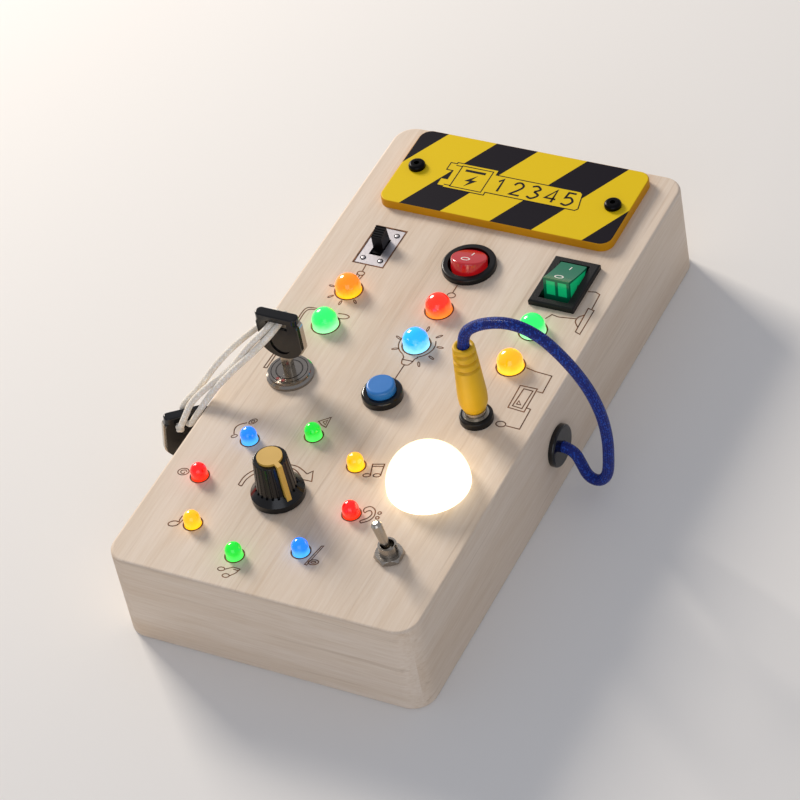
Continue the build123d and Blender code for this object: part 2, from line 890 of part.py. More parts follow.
def pivot_holes(reach):
    """Holes for a rocker's pins in its housing."""
    bar = rod(rocker_pin_r + rocker_pin_gap, -reach, reach)
    return Pos(0, 0, rocker_pivot_height) * Rot(0, 90, 0) * bar


def clip(width):
    """Wedge under the panel that keeps a housing in its hole, pointing to +X."""
    wedge = Polyline((0, 0), (rocker_clip_reach, 0), (0, -rocker_clip_height), close=True)
    face = Plane.XZ * make_face(wedge)
    return Pos(0, 0, panel_under) * extrude(face, width / 2, both=True)


def round_rocker_housing():
    """Round bezel and barrel with the chamber that the rocker swings in."""
    bezel = rod(round_bezel_r, 0, round_bezel_height)
    bezel = fillet(top_edges(bezel), round_bezel_edge)
    housing = bezel + rod(round_body_r, -rocker_body_depth, 0)
    reach = round_body_r - rocker_clip_root
    housing += Pos(reach, 0, 0) * clip(round_body_r / 2)
    housing += Rot(0, 0, 180) * Pos(reach, 0, 0) * clip(round_body_r / 2)
    housing -= rod(round_mouth_r, -round_chamber_depth, round_bezel_height)
    housing -= pivot_holes(round_mouth_r + round_pin_seat + rocker_pin_gap)
    return on_panel(round_x, round_y) * housing


def red_rocker():
    """Round rocker: a drum on top of half a ball, on two pins."""
    drum = rod(round_rocker_r, 0, round_rocker_height)
    drum = fillet(top_edges(drum), round_rocker_edge)
    foot = Sphere(round_rocker_r) & block(2 * round_rocker_r, 2 * round_rocker_r,
                                          -round_rocker_drop, 0)
    rocker = drum + foot + pivot_pins(round_mouth_r + round_pin_seat)
    return tilted(on_panel(round_x, round_y)) * rocker


def rect_rocker_housing():
    """Rectangular frame and body with the chamber that the rocker swings in."""
    frame = block(rect_frame_width, rect_frame_length, 0, rect_frame_height)
    frame = chamfer(top_edges(frame), rect_frame_edge)
    housing = frame + block(rect_body_width, rect_body_length, -rocker_body_depth, 0)
    for turn in (0, 180):
        housing += Rot(0, 0, turn) * Pos(rect_body_width / 2, 0, 0) * clip(rect_body_width / 2)
    housing -= block(rect_mouth_width, rect_mouth_length, -rect_chamber_depth,
                     rect_frame_height)
    housing -= pivot_holes(rect_mouth_width / 2 + rect_pin_seat + rocker_pin_gap)
    return on_panel(rect_x, rect_y) * housing


def green_rocker():
    """Wedge-ended rocker with a dished top and two windows in each end."""
    head = rect_rocker_top / 2
    foot = rect_rocker_foot / 2
    high = rect_rocker_height
    low = -rect_rocker_drop
    outline = Polyline((head, high), (foot, low), (-foot, low), (-head, high))
    outline += ThreePointArc((-head, high), (0, high - rect_rocker_dish), (head, high))
    rocker = extrude(Plane.YZ * make_face(outline), rect_rocker_width / 2, both=True)
    lean = math.degrees(math.atan2(head - foot, high - low))
    window_width = (rect_rocker_width - 3 * rect_window_border) / 2
    window = Box(window_width, 2 * rect_window_depth, rect_window_height)
    window_x = (window_width + rect_window_border) / 2
    drop = rect_window_border + rect_window_height / 2
    for end in (-1, 1):
        for side in (-1, 1):
            place = Pos(side * window_x, end * head, high) * Rot(-end * lean, 0, 0)
            rocker -= place * Pos(0, 0, -drop) * window
    rocker += pivot_pins(rect_mouth_width / 2 + rect_pin_seat)
    return tilted(on_panel(rect_x, rect_y)) * rocker


def terminals():
    """Solder tags under the switches, the lock, the button and the socket."""
    spade = block(spade_thickness, spade_width, -spade_length, 0)
    pin = block(pin_width, pin_thickness, -pin_length, 0)
    tags = []
    for side in (-1, 1):
        x = side * spade_spacing / 2
        tags.append(on_panel(round_x + x, round_y) * Pos(0, 0, -rocker_body_depth) * spade)
    for step in (-1, 0, 1):
        y = rect_y + step * spade_spacing
        tags.append(on_panel(rect_x, y) * Pos(0, 0, -rocker_body_depth)
                    * Rot(0, 0, 90) * spade)
        slide_bottom = slide_plate_bottom - slide_body_depth
        tags.append(on_panel(slide_x, slide_y + step * pin_spacing)
                    * Pos(0, 0, slide_bottom) * pin)
        tags.append(on_panel(toggle_x + step * pin_spacing, toggle_y)
                    * Pos(0, 0, panel_under - toggle_body_depth) * pin)
    for side in (-1, 1):
        x = side * pin_spacing / 2
        tags.append(on_panel(button_x + x, button_y) * Pos(0, 0, -button_depth) * pin)
        tags.append(on_panel(lock_x + x, lock_y) * Pos(0, 0, -lock_depth) * pin)
        tags.append(on_panel(jack_x + x, jack_y) * Pos(0, 0, -jack_depth) * pin)
    return tags


# ---- blue push button
button_spring_top = button_cap_height - button_cap_roof
button_chamber_depth = button_skirt_drop + button_travel + button_bottom_gap
button_stem_well = button_stem_drop + button_travel + button_well_gap


def push_button_housing():
    """Bezel and barrel, with a chamber for the cap and a well for its stem."""
    bezel = rod(button_bezel_r, 0, button_bezel_height)
    bezel = fillet(top_edges(bezel), button_bezel_edge)
    housing = bezel + rod(button_barrel_r, -button_depth, 0)
    housing -= rod(button_mouth_r, -button_chamber_depth, button_bezel_height)
    housing -= rod(button_stem_r + button_stem_gap, -button_stem_well, 0)
    return on_panel(button_x, button_y) * housing


def push_button_nut():
    """Hexagonal nut under the panel."""
    nut = hexagon(button_nut_flats, panel_under - button_nut_height, panel_under)
    nut -= rod(button_barrel_r + nut_thread_gap, panel_under - button_nut_height, panel_under)
    return on_panel(button_x, button_y) * nut


def blue_button():
    """Hollow cap with an eased rim and a stem down its middle."""
    cap = rod(button_cap_r, -button_skirt_drop, button_cap_height)
    cap = fillet(top_edges(cap), button_cap_edge)
    cap -= rod(button_cap_r - button_cap_wall, -button_skirt_drop, button_spring_top)
    cap += rod(button_stem_r, -button_stem_drop, button_spring_top)
    return on_panel(button_x, button_y) * cap


def button_spring():
    """Coil spring between the chamber floor and the roof of the cap."""
    bottom = -button_chamber_depth + button_spring_wire_r
    height = button_spring_top - button_spring_wire_r - bottom
    line = Helix(height / button_spring_turns, height, button_spring_r)
    section = Plane(origin=line @ 0, z_dir=line % 0) * Circle(button_spring_wire_r)
    coil = sweep(section, path=line)
    return on_panel(button_x, button_y) * Pos(0, 0, bottom) * coil


# ---- key lock and keys
def key_lock_barrel():
    """Stepped bezel ring and barrel, bored for the plug."""
    bevel = lock_flange_r - lock_ring_r
    barrel = turned((0, -lock_depth), (lock_barrel_r, -lock_depth), (lock_barrel_r, 0),
                    (lock_flange_r, 0), (lock_flange_r, lock_flange_height),
                    (lock_ring_r, lock_flange_height + bevel / 2),
                    (lock_ring_r, lock_ring_height), (0, lock_ring_height))
    barrel -= rod(lock_plug_r + lock_plug_gap, -lock_plug_depth - lock_end_gap,
                  lock_ring_height)
    return on_panel(lock_x, lock_y) * barrel


def key_lock_nut():
    """Hexagonal nut under the panel."""
    nut = hexagon(lock_nut_flats, panel_under - lock_nut_height, panel_under)
    nut -= rod(lock_barrel_r + nut_thread_gap, panel_under - lock_nut_height, panel_under)
    return on_panel(lock_x, lock_y) * nut


def lock_plug():
    """Turning plug with its keyway."""
    plug = rod(lock_plug_r, -lock_plug_depth, lock_ring_height)
    bottom = lock_ring_height - key_blade_length - keyway_spare_depth
    plug -= block(key_blade_width + 2 * keyway_gap, key_blade_thickness + 2 * keyway_gap,
                  bottom, lock_ring_height)
    return on_panel(lock_x, lock_y) * plug


def bow_outline(half_width):
    """Face of a key's bow: straight sides from the bar, and a curved toe."""
    top = -key_bar_height
    side_end = top - key_side_length
    grown = half_width - key_cover_width / 2
    toe = side_end - key_toe_drop - grown
    outline = Polyline((half_width, side_end), (half_width, top), (-half_width, top),
                       (-half_width, side_end))
    outline += ThreePointArc((-half_width, side_end), (0, toe), (half_width, side_end))
    face = make_face(outline)
    corners = face.vertices().group_by(Axis.Y)[0:2]
    rounded_off = [v for group in corners for v in group if abs(v.X) > half_width / 2]
    return fillet(rounded_off, key_toe_corner)


def key_slot():
    """Slot under the bar that the lanyard goes through."""
    middle = -key_bar_height - key_slot_height / 2
    return Pos(0, 0, middle) * Box(key_slot_width, 4 * key_bar_depth, key_slot_height)


def key_blade():
    """Metal of the key: the plate of its bow, the neck and the blade."""
    front = key_cover_thickness - key_bar_depth / 2 + key_bar_behind
    outline = bow_outline(key_cover_width / 2 + key_metal_border)
    plate = Pos(0, front, 0) * extrude(Plane.XZ * outline, -key_metal_thickness)
    plate -= key_slot()
    neck_top = -key_bar_height - key_side_length - key_toe_drop + key_metal_border
    neck_bottom = -key_length + key_blade_length
    neck = rounded(key_neck_width, key_neck_thickness, key_neck_corner, neck_bottom,
                   neck_top)
    blade = block(key_blade_width, key_blade_thickness, -key_length, neck_bottom)
    tip = blade.edges().filter_by(Axis.Y).group_by(Axis.Z)[0]
    blade = chamfer(tip, key_blade_width / 4)
    cover_back = extrude(Plane.XZ * bow_outline(key_cover_width / 2), key_bar_depth)
    neck -= Pos(0, front, 0) * cover_back
    return plate + neck + blade


def key_bow_cover():
    """Black front of the bow with its thumb recess, and the bar on top."""
    front = key_cover_thickness - key_bar_depth / 2 + key_bar_behind
    outline = bow_outline(key_cover_width / 2)
    cover = Pos(0, front, 0) * extrude(Plane.XZ * outline, key_cover_thickness)
    bar = Pos(0, 0, -key_bar_height / 2) * Box(key_bar_width, key_bar_depth, key_bar_height)
    bar = fillet(bar.edges().filter_by(Axis.Z), 3 * key_bar_edge)
    bar = fillet(top_edges(bar), key_bar_edge)
    cover -= key_slot()
    field_middle = -key_bar_height - (key_slot_height + key_side_length + key_toe_drop) / 2
    recess = extrude(Plane.XZ * Ellipse(key_recess_width / 2, key_recess_height / 2),
                     key_cover_thickness)
    face = front - key_cover_thickness
    cover -= Pos(0, face + key_recess_depth, field_middle) * recess
    return cover + bar


# ---- socket and plug
def jack_socket():
    """Threaded socket through the panel, with its wider body below."""
    socket = rod(jack_barrel_r, panel_under, jack_barrel_height)
    socket += rod(jack_body_r, -jack_depth, panel_under)
    bore_bottom = jack_barrel_height - plug_tip_length - jack_bore_spare
    socket -= rod(plug_tip_r + jack_bore_gap, bore_bottom, jack_barrel_height)
    return on_panel(jack_x, jack_y) * socket


def jack_ring():
    """Black ring nut round the socket."""
    ring = rod(jack_ring_r, 0, jack_ring_height)
    ring = fillet(top_edges(ring), jack_ring_edge)
    ring -= rod(jack_barrel_r + nut_thread_gap, 0, jack_ring_height)
    return on_panel(jack_x, jack_y) * ring


def plug_tip():
    """Metal pin of the plug with its insulating groove and rounded end."""
    top = jack_barrel_height
    bottom = top - plug_tip_length
    pin = rod(plug_tip_r, bottom, top)
    pin = chamfer(pin.faces().sort_by(Axis.Z)[0].edges(), plug_tip_r / 2)
    groove = rod(plug_tip_r, 0, plug_tip_groove) - rod(plug_tip_r - plug_tip_groove / 2, 0,
                                                       plug_tip_groove)
    pin -= Pos(0, 0, bottom + plug_tip_groove_at) * groove
    return on_panel(jack_x, jack_y) * pin


def plug_collar():
    """Dark collar that stops on the socket."""
    bottom = jack_barrel_height
    return on_panel(jack_x, jack_y) * rod(plug_collar_r, bottom, bottom + plug_collar_height)


def plug_shell():
    """Tapered grip with staggered relief slots, and a hole for the cord."""
    shell = Pos(0, 0, plug_shell_length / 2) * Cone(plug_shell_foot_r, plug_shell_head_r,
                                                     plug_shell_length)
    shell = fillet(top_edges(shell), plug_shell_edge)
    slot = (rod(plug_shell_foot_r, 0, plug_relief_width)
            - rod(plug_shell_head_r - plug_relief_depth, 0, plug_relief_width))
    spine = Pos(plug_shell_foot_r, 0, 0) * block(plug_shell_foot_r, plug_relief_spine,
                                                 0, plug_relief_width)
    for index in range(plug_relief_count):
        height = plug_relief_first + index * plug_relief_pitch
        shell -= Pos(0, 0, height) * (slot - spine)
    shell -= rod(cord_r + cord_gap, plug_shell_length - plug_socket_depth, plug_shell_length)
    bottom = jack_barrel_height + plug_collar_height
    return on_panel(jack_x, jack_y) * Pos(0, 0, bottom) * shell


def cord_grommet():
    """Moulded grommet: outer flange, neck through the wall and inner lip."""
    grommet = rod(grommet_flange_r, 0, grommet_flange_height)
    grommet = fillet(top_edges(grommet), grommet_edge)
    grommet += rod(grommet_neck_r, -side_wall, 0)
    grommet += rod(grommet_lip_r, -side_wall - grommet_lip_thickness, -side_wall)
    grommet -= rod(cord_r + cord_gap, -grommet_seat_depth, grommet_flange_height)
    grommet -= rod(grommet_bore_r, -side_wall - grommet_lip_thickness, 0)
    return grommet_place() * grommet


# ---- cords
def corner_radii(points):
    """Arc of each corner: as large as 0.45 of the shorter run beside it allows."""
    radii = []
    for before, here, after in zip(points, points[1:], points[2:]):
        arrive = Vector(*here) - Vector(*before)
        leave = Vector(*after) - Vector(*here)
        turn = math.radians(arrive.get_angle(leave))
        radii.append(0.45 * min(arrive.length, leave.length) / math.tan(turn / 2))
    return radii


def shifted(points, x, y):
    """Points counted from a place on the panel, in the frame of the whole board."""
    return [(x + across, y + along, board_height + up) for across, along, up in points]


def tube(name, points, radius):
    """Round tube along straight runs joined by tangent arcs."""
    radii = corner_radii(points)
    line = FilletPolyline(*points, radius=radii)
    section = Plane(origin=line @ 0, z_dir=line % 0) * Circle(radius)
    solid = sweep(section, path=line)
    expected = math.pi * radius ** 2 * line.length
    print(name, "length", round(line.length, 1), "volume", round(solid.volume, 1),
          "expected", round(expected, 1), "radii", [round(r, 1) for r in radii])
    return solid


def plug_cord():
    """Cord from the plug's head to the seat inside the grommet."""
    return tube("plug_cord", shifted(plug_cord_route, jack_x, jack_y), cord_r)


def lanyard():
    """Lanyard cord through both keys' slots, with a knot at each end."""
    route = shifted(lanyard_route, lock_x, lock_y)
    cord = tube("lanyard", route, lanyard_r)
    for end, inner in ((0, 1), (-1, -2)):
        tip = Vector(*route[end])
        inward = (Vector(*route[inner]) - tip).normalized()
        knot = Plane(origin=tip - inward * knot_length / 4, z_dir=inward) * Sphere(knot_r)
        cord += knot
    return cord


# ---- rotary encoder and knob
def encoder_body():
    """Body between the panel and the circuit board, with its bushing."""
    body = block(encoder_width, encoder_length, sheet_top, panel_under)
    body += rod(encoder_bushing_r, panel_under, 0)
    body -= rod(encoder_shaft_r + encoder_shaft_gap,
                panel_under - encoder_shaft_foot - encoder_shaft_gap, 0)
    return on_panel(knob_x, knob_y) * body


def flatted(radius, flat, bottom, top):
    """Round bar with one flat side, facing away from the pointer."""
    bar = rod(radius, bottom, top)
    bar -= Pos(-radius - flat, 0, 0) * block(2 * radius, 4 * radius, bottom, top)
    return Rot(0, 0, knob_pointer_angle) * bar


def encoder_shaft():
    """Shaft with a flat where the knob grips it."""
    shaft = rod(encoder_shaft_r, panel_under - encoder_shaft_foot, knob_foot_height)
    shaft += flatted(encoder_shaft_r, encoder_shaft_flat, knob_foot_height,
                     encoder_shaft_top)
    return on_panel(knob_x, knob_y) * shaft


def pointer(gap):
    """Fin of the cap down the knob's side, grown by a gap for its groove."""
    high = knob_cap_height if gap == 0 else knob_cap_height + cut_spare
    low = knob_head_height - knob_cap_sink - gap
    outline = Polyline((knob_cap_r / 2, high),
                       (knob_pointer_head_reach + gap, high),
                       (knob_pointer_foot_reach + gap, knob_pointer_foot - gap),
                       (knob_pointer_foot_reach - knob_pointer_depth - gap, knob_pointer_foot - gap),
                       (knob_pointer_head_reach - knob_pointer_depth - gap, low),
                       (knob_cap_r / 2, low), close=True)
    fin = extrude(Plane.XZ * make_face(outline), knob_pointer_width / 2 + gap, both=True)
    return Rot(0, 0, knob_pointer_angle) * fin


def knob():
    """Skirted, tapered and fluted knob, bored for the shaft."""
    body = turned((0, knob_float), (knob_skirt_r, knob_float),
                  (knob_skirt_r, knob_skirt_height), (knob_foot_r, knob_foot_height),
                  (knob_head_r, knob_head_height), (0, knob_head_height))
    body = fillet(top_edges(body), knob_head_edge)
    lean = math.degrees(math.atan2(knob_foot_r - knob_head_r,
                                   knob_head_height - knob_foot_height))
    flute_length = 1.1 * (knob_head_height - knob_foot_height)
    middle = (knob_foot_height + knob_head_height) / 2
    flute = (Pos((knob_foot_r + knob_head_r) / 2 + knob_flute_r / 3, 0, middle)
             * Rot(0, -lean, 0) * rod(knob_flute_r, -flute_length / 2, flute_length / 2))
    first = knob_pointer_angle + 180 / knob_flutes
    flutes = [Rot(0, 0, first + 360 * index / knob_flutes) * flute
              for index in range(knob_flutes)]
    body -= flutes
    body -= rod(knob_hollow_r, knob_float, knob_hollow_height)
    body -= rod(encoder_shaft_r + knob_pointer_gap, knob_hollow_height, knob_foot_height)
    body -= flatted(encoder_shaft_r + knob_pointer_gap, encoder_shaft_flat + knob_pointer_gap,
                    knob_foot_height, encoder_shaft_top + knob_bore_spare)
    body -= rod(knob_cap_r + knob_pointer_gap, knob_head_height - knob_cap_sink,
                knob_head_height)
    body -= pointer(knob_pointer_gap)
    return on_panel(knob_x, knob_y) * body


def knob_cap():
    """Coloured disc let into the knob's head, with the pointer down its side."""
    disc = rod(knob_cap_r, knob_head_height - knob_cap_sink, knob_cap_height)
    disc += pointer(0)
    return on_panel(knob_x, knob_y) * disc


# ---- toggle switch
def toggle_body():
    """Moulded body under the panel, with a well for the lever's stem."""
    body = block(toggle_body_length, toggle_body_width, panel_under - toggle_body_depth,
                 panel_under)
    return on_panel(toggle_x, toggle_y) * body


def toggle_bushing():
    """Threaded bushing with a keyway along its side and the lever's mouth."""
    bushing = rod(toggle_bushing_r, panel_under, toggle_bushing_height)
    bushing -= rod(toggle_bore_r, panel_under + toggle_well_spare, toggle_bushing_height)
    reach = toggle_pin_reach + toggle_pin_gap
    bushing -= (Pos(0, 0, toggle_pivot_height) * Rot(90, 0, 0)
                * rod(toggle_pin_r + toggle_pin_gap, -reach, reach))
    keyway = Pos(toggle_bushing_r, 0, 0) * block(2 * toggle_keyway_depth, toggle_keyway_width,
                                                 toggle_washer_height + toggle_nut_height,
                                                 toggle_bushing_height)
    return on_panel(toggle_x, toggle_y) * (bushing - keyway)


def toggle_nut():
    """Washer and hexagonal nut on the bushing."""
    nut = hexagon(toggle_nut_flats, toggle_washer_height,
                  toggle_washer_height + toggle_nut_height)
    round_top = turned((0, 0), (toggle_nut_bevel_r, 0),
                       (toggle_nut_flats / 2,
                        toggle_washer_height + toggle_nut_height),
                       (0, toggle_washer_height + toggle_nut_height))
    nut = Rot(0, 0, 30) * nut & round_top
    nut += rod(toggle_nut_flats / 2, 0, toggle_washer_height)
    nut -= rod(toggle_bushing_r + nut_thread_gap, 0, toggle_washer_height + toggle_nut_height)
    return on_panel(toggle_x, toggle_y) * nut


def toggle_lever():
    """Lever on its ball and cross pin, leaning to -X at rest, with a stem below."""
    tip = toggle_lever_length
    crown = tip - toggle_tip_crown
    lever = turned((0, 0), (toggle_lever_foot_r, 0),
                   (toggle_lever_head_r, crown - toggle_tip_bevel),
                   (2 * toggle_tip_r, crown), (toggle_tip_r, tip), (0, tip))
    lever += Sphere(toggle_ball_r)
    lever += rod(toggle_stem_r, -toggle_stem_length, 0)
    lever += Rot(90, 0, 0) * rod(toggle_pin_r, -toggle_pin_reach, toggle_pin_reach)
    return (on_panel(toggle_x, toggle_y) * Pos(0, 0, toggle_pivot_height)
            * Rot(0, -toggle_half_throw, 0) * lever)


# ---- dome lamp
def dome_lens():
    """Hollow dome on a short foot, with a collar through the panel."""
    inner_r = dome_r - dome_wall
    outline = Polyline((inner_r, 0), (dome_r, 0), (dome_r, dome_foot))
    half = math.sqrt(0.5)
    outline += ThreePointArc((dome_r, dome_foot), (dome_r * half, dome_foot + dome_r * half),
                             (0, dome_foot + dome_r))
    outline += Line((0, dome_foot + dome_r), (0, dome_foot + inner_r))
    outline += ThreePointArc((0, dome_foot + inner_r),
                             (inner_r * half, dome_foot + inner_r * half),
                             (inner_r, dome_foot))
    outline += Line((inner_r, dome_foot), (inner_r, 0))
    shell = revolve(Plane.XZ * make_face(outline), Axis.Z)
    collar_inner = dome_collar_r - dome_collar_wall
    collar = rod(dome_collar_r, panel_under, 0) - rod(collar_inner, panel_under, 0)
    joint = rod(dome_r, 0, dome_foot) - rod(collar_inner, 0, dome_foot)
    return on_panel(dome_x, dome_y) * (shell + collar + joint)


def dome_light_board():
    """Small circuit board with the white light chip, under the dome."""
    board = rounded(light_board_width, light_board_length, light_board_corner,
                    sheet_under, sheet_top)
    board -= [Pos(0, end * light_screw_offset, 0)
              * rod(board_screw_r + board_screw_gap, sheet_under, sheet_top)
              for end in (-1, 1)]
    board += block(light_chip, light_chip, sheet_top, sheet_top + light_chip_height)
    return on_panel(dome_x, dome_y) * board


# ---- circuit boards, spacers, screws
def board_holes():
    """Screw holes at every spacer, in the frame of the whole board."""
    return [place * rod(board_screw_r + board_screw_gap, sheet_under, sheet_top)
            for place in spacer_places()]


def ring_light_board():
    """Round circuit board under the ring of small lamps."""
    board = on_panel(ring_x, ring_y) * rod(ring_board_r, sheet_under, sheet_top)
    return board - board_holes()


def controller_board():
    """Circuit board under the six large lamps, with its chips."""
    board = rounded(controller_width, controller_depth, controller_corner,
                    sheet_under, sheet_top)
    chip = block(chip_width, chip_depth, sheet_under - chip_height, sheet_under)
    for x in (-controller_width / 5, controller_width / 5):
        board += Pos(x, 0, 0) * chip
    return on_panel(0, controller_y) * board - board_holes()


def board_spacer():
    """Tube between the panel and a circuit board."""
    return (rod(spacer_r, sheet_top, panel_under)
            - rod(board_screw_r + board_screw_gap, sheet_top, panel_under))


def board_screw():
    """Screw up through a circuit board and its spacer into the panel."""
    screw = rod(board_screw_r, sheet_under, panel_under + board_screw_grip)
    screw += rod(board_screw_head_r, sheet_under - board_screw_head_height, sheet_under)
    return screw


# ---- coloured lamps
def lamp(lamp_r, flange_r, height, length, flange):
    """One lamp: a flange, a straight body and a round end."""
    bottom = height - length
    shoulder = bottom + flange
    dome = height - lamp_r
    half = math.sqrt(0.5)
    outline = Polyline((0, height), (0, bottom), (flange_r, bottom), (flange_r, shoulder),
                       (lamp_r, shoulder), (lamp_r, dome))
    outline += ThreePointArc((lamp_r, dome), (lamp_r * half, dome + lamp_r * half),
                             (0, height))
    return revolve(Plane.XZ * make_face(outline), Axis.Z)


def small_lamp():
    """Lamp of the ring."""
    return lamp(small_lamp_r, small_lamp_flange_r, small_lamp_height, small_lamp_length,
                small_lamp_flange)


def large_lamp():
    """Lamp of the two rows."""
    return lamp(large_lamp_r, large_lamp_flange_r, large_lamp_height, large_lamp_length,
                large_lamp_flange)


def lamp_leads():
    """Two wires from each lamp down to its circuit board."""
    leads = []
    for places, top in ((all_small_places(), small_lamp_height - small_lamp_length),
                        (all_large_places(), large_lamp_height - large_lamp_length)):
        for place in places:
            for side in (-1, 1):
                wire = block(lead_size, lead_size, sheet_top, top)
                leads.append(place * Pos(side * lead_spacing / 2, 0, 0) * wire)
    return leads


# ---- write every node
os.makedirs("parts", exist_ok=True)

save("wood_body", wood_body())
save("base_cover", base_cover())
save("cover_screws", *[place * cover_screw() for place in cover_screw_places()],
     Pos(door_screw_x, battery_y, 0) * cover_screw())
save("battery_holder", battery_holder())
save("battery_door", battery_door())
save("battery_cells", *battery_cells())
save("battery_contacts", *battery_contacts())

save("sign_plate", sign_plate())
save("sign_screws", *[on_panel(side * sign_screw_x, sign_y) * sign_screw()
                      for side in (-1, 1)])

save("slide_switch_plate", slide_switch_plate())
save("slide_switch_body", slide_switch_body())
save("slide_switch_slider", slide_switch_slider())
save("round_rocker_housing", round_rocker_housing())
save("red_rocker", red_rocker())
save("rect_rocker_housing", rect_rocker_housing())
save("green_rocker", green_rocker())
save("switch_terminals", *terminals())

save("push_button_housing", push_button_housing())
save("push_button_nut", push_button_nut())
save("blue_button", blue_button())
save("button_spring", button_spring())

save("key_lock_barrel", key_lock_barrel())
save("key_lock_nut", key_lock_nut())
save("lock_plug", lock_plug())
save("key_blade", lock_key_place() * key_blade())
save("key_bow_cover", lock_key_place() * key_bow_cover())
save("spare_key_blade", spare_key_place() * key_blade())
save("spare_key_bow_cover", spare_key_place() * key_bow_cover())
save("lanyard", lanyard())

save("jack_socket", jack_socket())
save("jack_ring", jack_ring())
save("plug_tip", plug_tip())
save("plug_collar", plug_collar())
save("plug_shell", plug_shell())
save("plug_cord", plug_cord())
save("cord_grommet", cord_grommet())

save("encoder_body", encoder_body())
save("encoder_shaft", encoder_shaft())
save("knob", knob())
save("knob_cap", knob_cap())

save("toggle_body", toggle_body())
save("toggle_bushing", toggle_bushing())
save("toggle_nut", toggle_nut())
save("toggle_lever", toggle_lever())

save("dome_lens", dome_lens())
save("dome_light_board", dome_light_board())
save("ring_light_board", ring_light_board())
save("controller_board", controller_board())
save("board_spacers", *[place * board_spacer() for place in spacer_places()])
save("board_screws", *[place * board_screw() for place in spacer_places()])

for colour, places in large_lamp_places().items():
    save("large_lamps_" + colour, *[place * large_lamp() for place in places])
for colour, angles in (("red", red_angles), ("blue", blue_angles),
                       ("green", green_angles), ("yellow", yellow_angles)):
    save("small_lamps_" + colour, *[place * small_lamp() for place in ring_places(angles)])
save("lamp_leads", *lamp_leads())
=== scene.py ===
"""Wooden busy board: finishes, cords, engraved marks, lamps and studio."""

from __future__ import annotations

import logging
import math
from dataclasses import dataclass, field
from enum import Enum
from functools import lru_cache
from typing import Any, Mapping, Sequence

import bpy
import numpy as np
from mathutils import Matrix, Vector

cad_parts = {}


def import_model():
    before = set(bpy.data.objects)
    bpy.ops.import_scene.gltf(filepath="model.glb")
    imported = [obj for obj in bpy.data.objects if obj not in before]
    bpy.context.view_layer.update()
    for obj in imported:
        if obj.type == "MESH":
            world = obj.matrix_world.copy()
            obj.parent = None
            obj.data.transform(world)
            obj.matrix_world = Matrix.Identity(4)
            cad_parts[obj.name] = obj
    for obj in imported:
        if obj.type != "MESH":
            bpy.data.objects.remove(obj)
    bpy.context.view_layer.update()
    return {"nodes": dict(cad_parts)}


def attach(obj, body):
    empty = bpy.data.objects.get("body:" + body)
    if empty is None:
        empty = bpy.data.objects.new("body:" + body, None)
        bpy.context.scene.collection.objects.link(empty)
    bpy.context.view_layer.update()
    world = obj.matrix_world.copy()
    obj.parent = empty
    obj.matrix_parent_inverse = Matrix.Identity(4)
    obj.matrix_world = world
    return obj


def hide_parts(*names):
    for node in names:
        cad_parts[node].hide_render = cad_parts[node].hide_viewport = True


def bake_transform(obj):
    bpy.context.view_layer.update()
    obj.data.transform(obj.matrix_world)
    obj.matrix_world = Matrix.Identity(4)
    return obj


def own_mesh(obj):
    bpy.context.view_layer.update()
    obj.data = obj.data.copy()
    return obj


MM = 0.001
PANEL_TOP = 32.5
NEAR_AXIS = 0.05
LOG = logging.getLogger("busy_board")

Array = np.ndarray
Point = tuple[float, float, float]
Colour = tuple[float, float, float, float]


class Axis(Enum):
    """Row axes, by their place in a vector."""

    X = 0
    Y = 1
    Z = 2


# ---------------------------------------------------------------- colour and nodes
def linear(hex_colour: str) -> Colour:
    """Turns an sRGB hex colour to linear light.

    Args:
        hex_colour: Six hex digits after a hash.

    Returns:
        Red, green, blue and an alpha of 1, each from 0 to 1.
    """
    shares = [int(hex_colour[i:i + 2], 16) / 255 for i in (1, 3, 5)]
    curve = [s / 12.92 if s <= 0.04045 else ((s + 0.055) / 1.055) ** 2.4 for s in shares]
    return curve[0], curve[1], curve[2], 1.0


def add(tree: bpy.types.NodeTree, kind: str, inputs: Mapping[Any, Any] | None = None,
        stops: Sequence[tuple[float, str]] = (), **settings: Any) -> bpy.types.Node:
    """Adds a node with its settings and links.

    Args:
        tree: The node tree that takes it.
        kind: The node's type name, without the ShaderNode in front.
        inputs: Values, output sockets or nodes, by the input's name or number. A node
            stands for its first output.
        stops: A colour ramp's places and hex colours, from low to high.
        **settings: The node's own properties.

    Returns:
        The new node.
    """
    node = tree.nodes.new("ShaderNode" + kind)
    for name, value in settings.items():
        setattr(node, name, value)
    for key, value in (inputs or {}).items():
        if isinstance(value, bpy.types.Node):
            value = value.outputs[0]
        if isinstance(value, bpy.types.NodeSocket):
            tree.links.new(value, node.inputs[key])
        else:
            node.inputs[key].default_value = value
    for _ in stops[2:]:
        node.color_ramp.elements.new(0.5)
    for index, (place, colour) in enumerate(stops):
        node.color_ramp.elements[index].position = place
        node.color_ramp.elements[index].color = linear(colour)
    return node


def scaled_place(tree: bpy.types.NodeTree, scale: float | Point) -> bpy.types.Node:
    """Object coordinates in millimetres, multiplied by a scale.

    Args:
        tree: The node tree.
        scale: Features per millimetre, the same every way or for each of X, Y and Z.

    Returns:
        The node that gives the scaled place.
    """
    place = add(tree, "TexCoord").outputs["Object"]
    return add(tree, "VectorMath",
               {0: place, 1: tuple(np.broadcast_to(scale, 3) / MM)}, operation="MULTIPLY")


# ---------------------------------------------------------------- finishes
@dataclass(frozen=True)
class Finish:
    """A surface finish: its name and the nodes that give its look."""

    name: str

    def surface(self, tree: bpy.types.NodeTree) -> bpy.types.Node:
        """Adds the nodes to a tree and returns the shader; each finish has its own way."""
        raise NotImplementedError


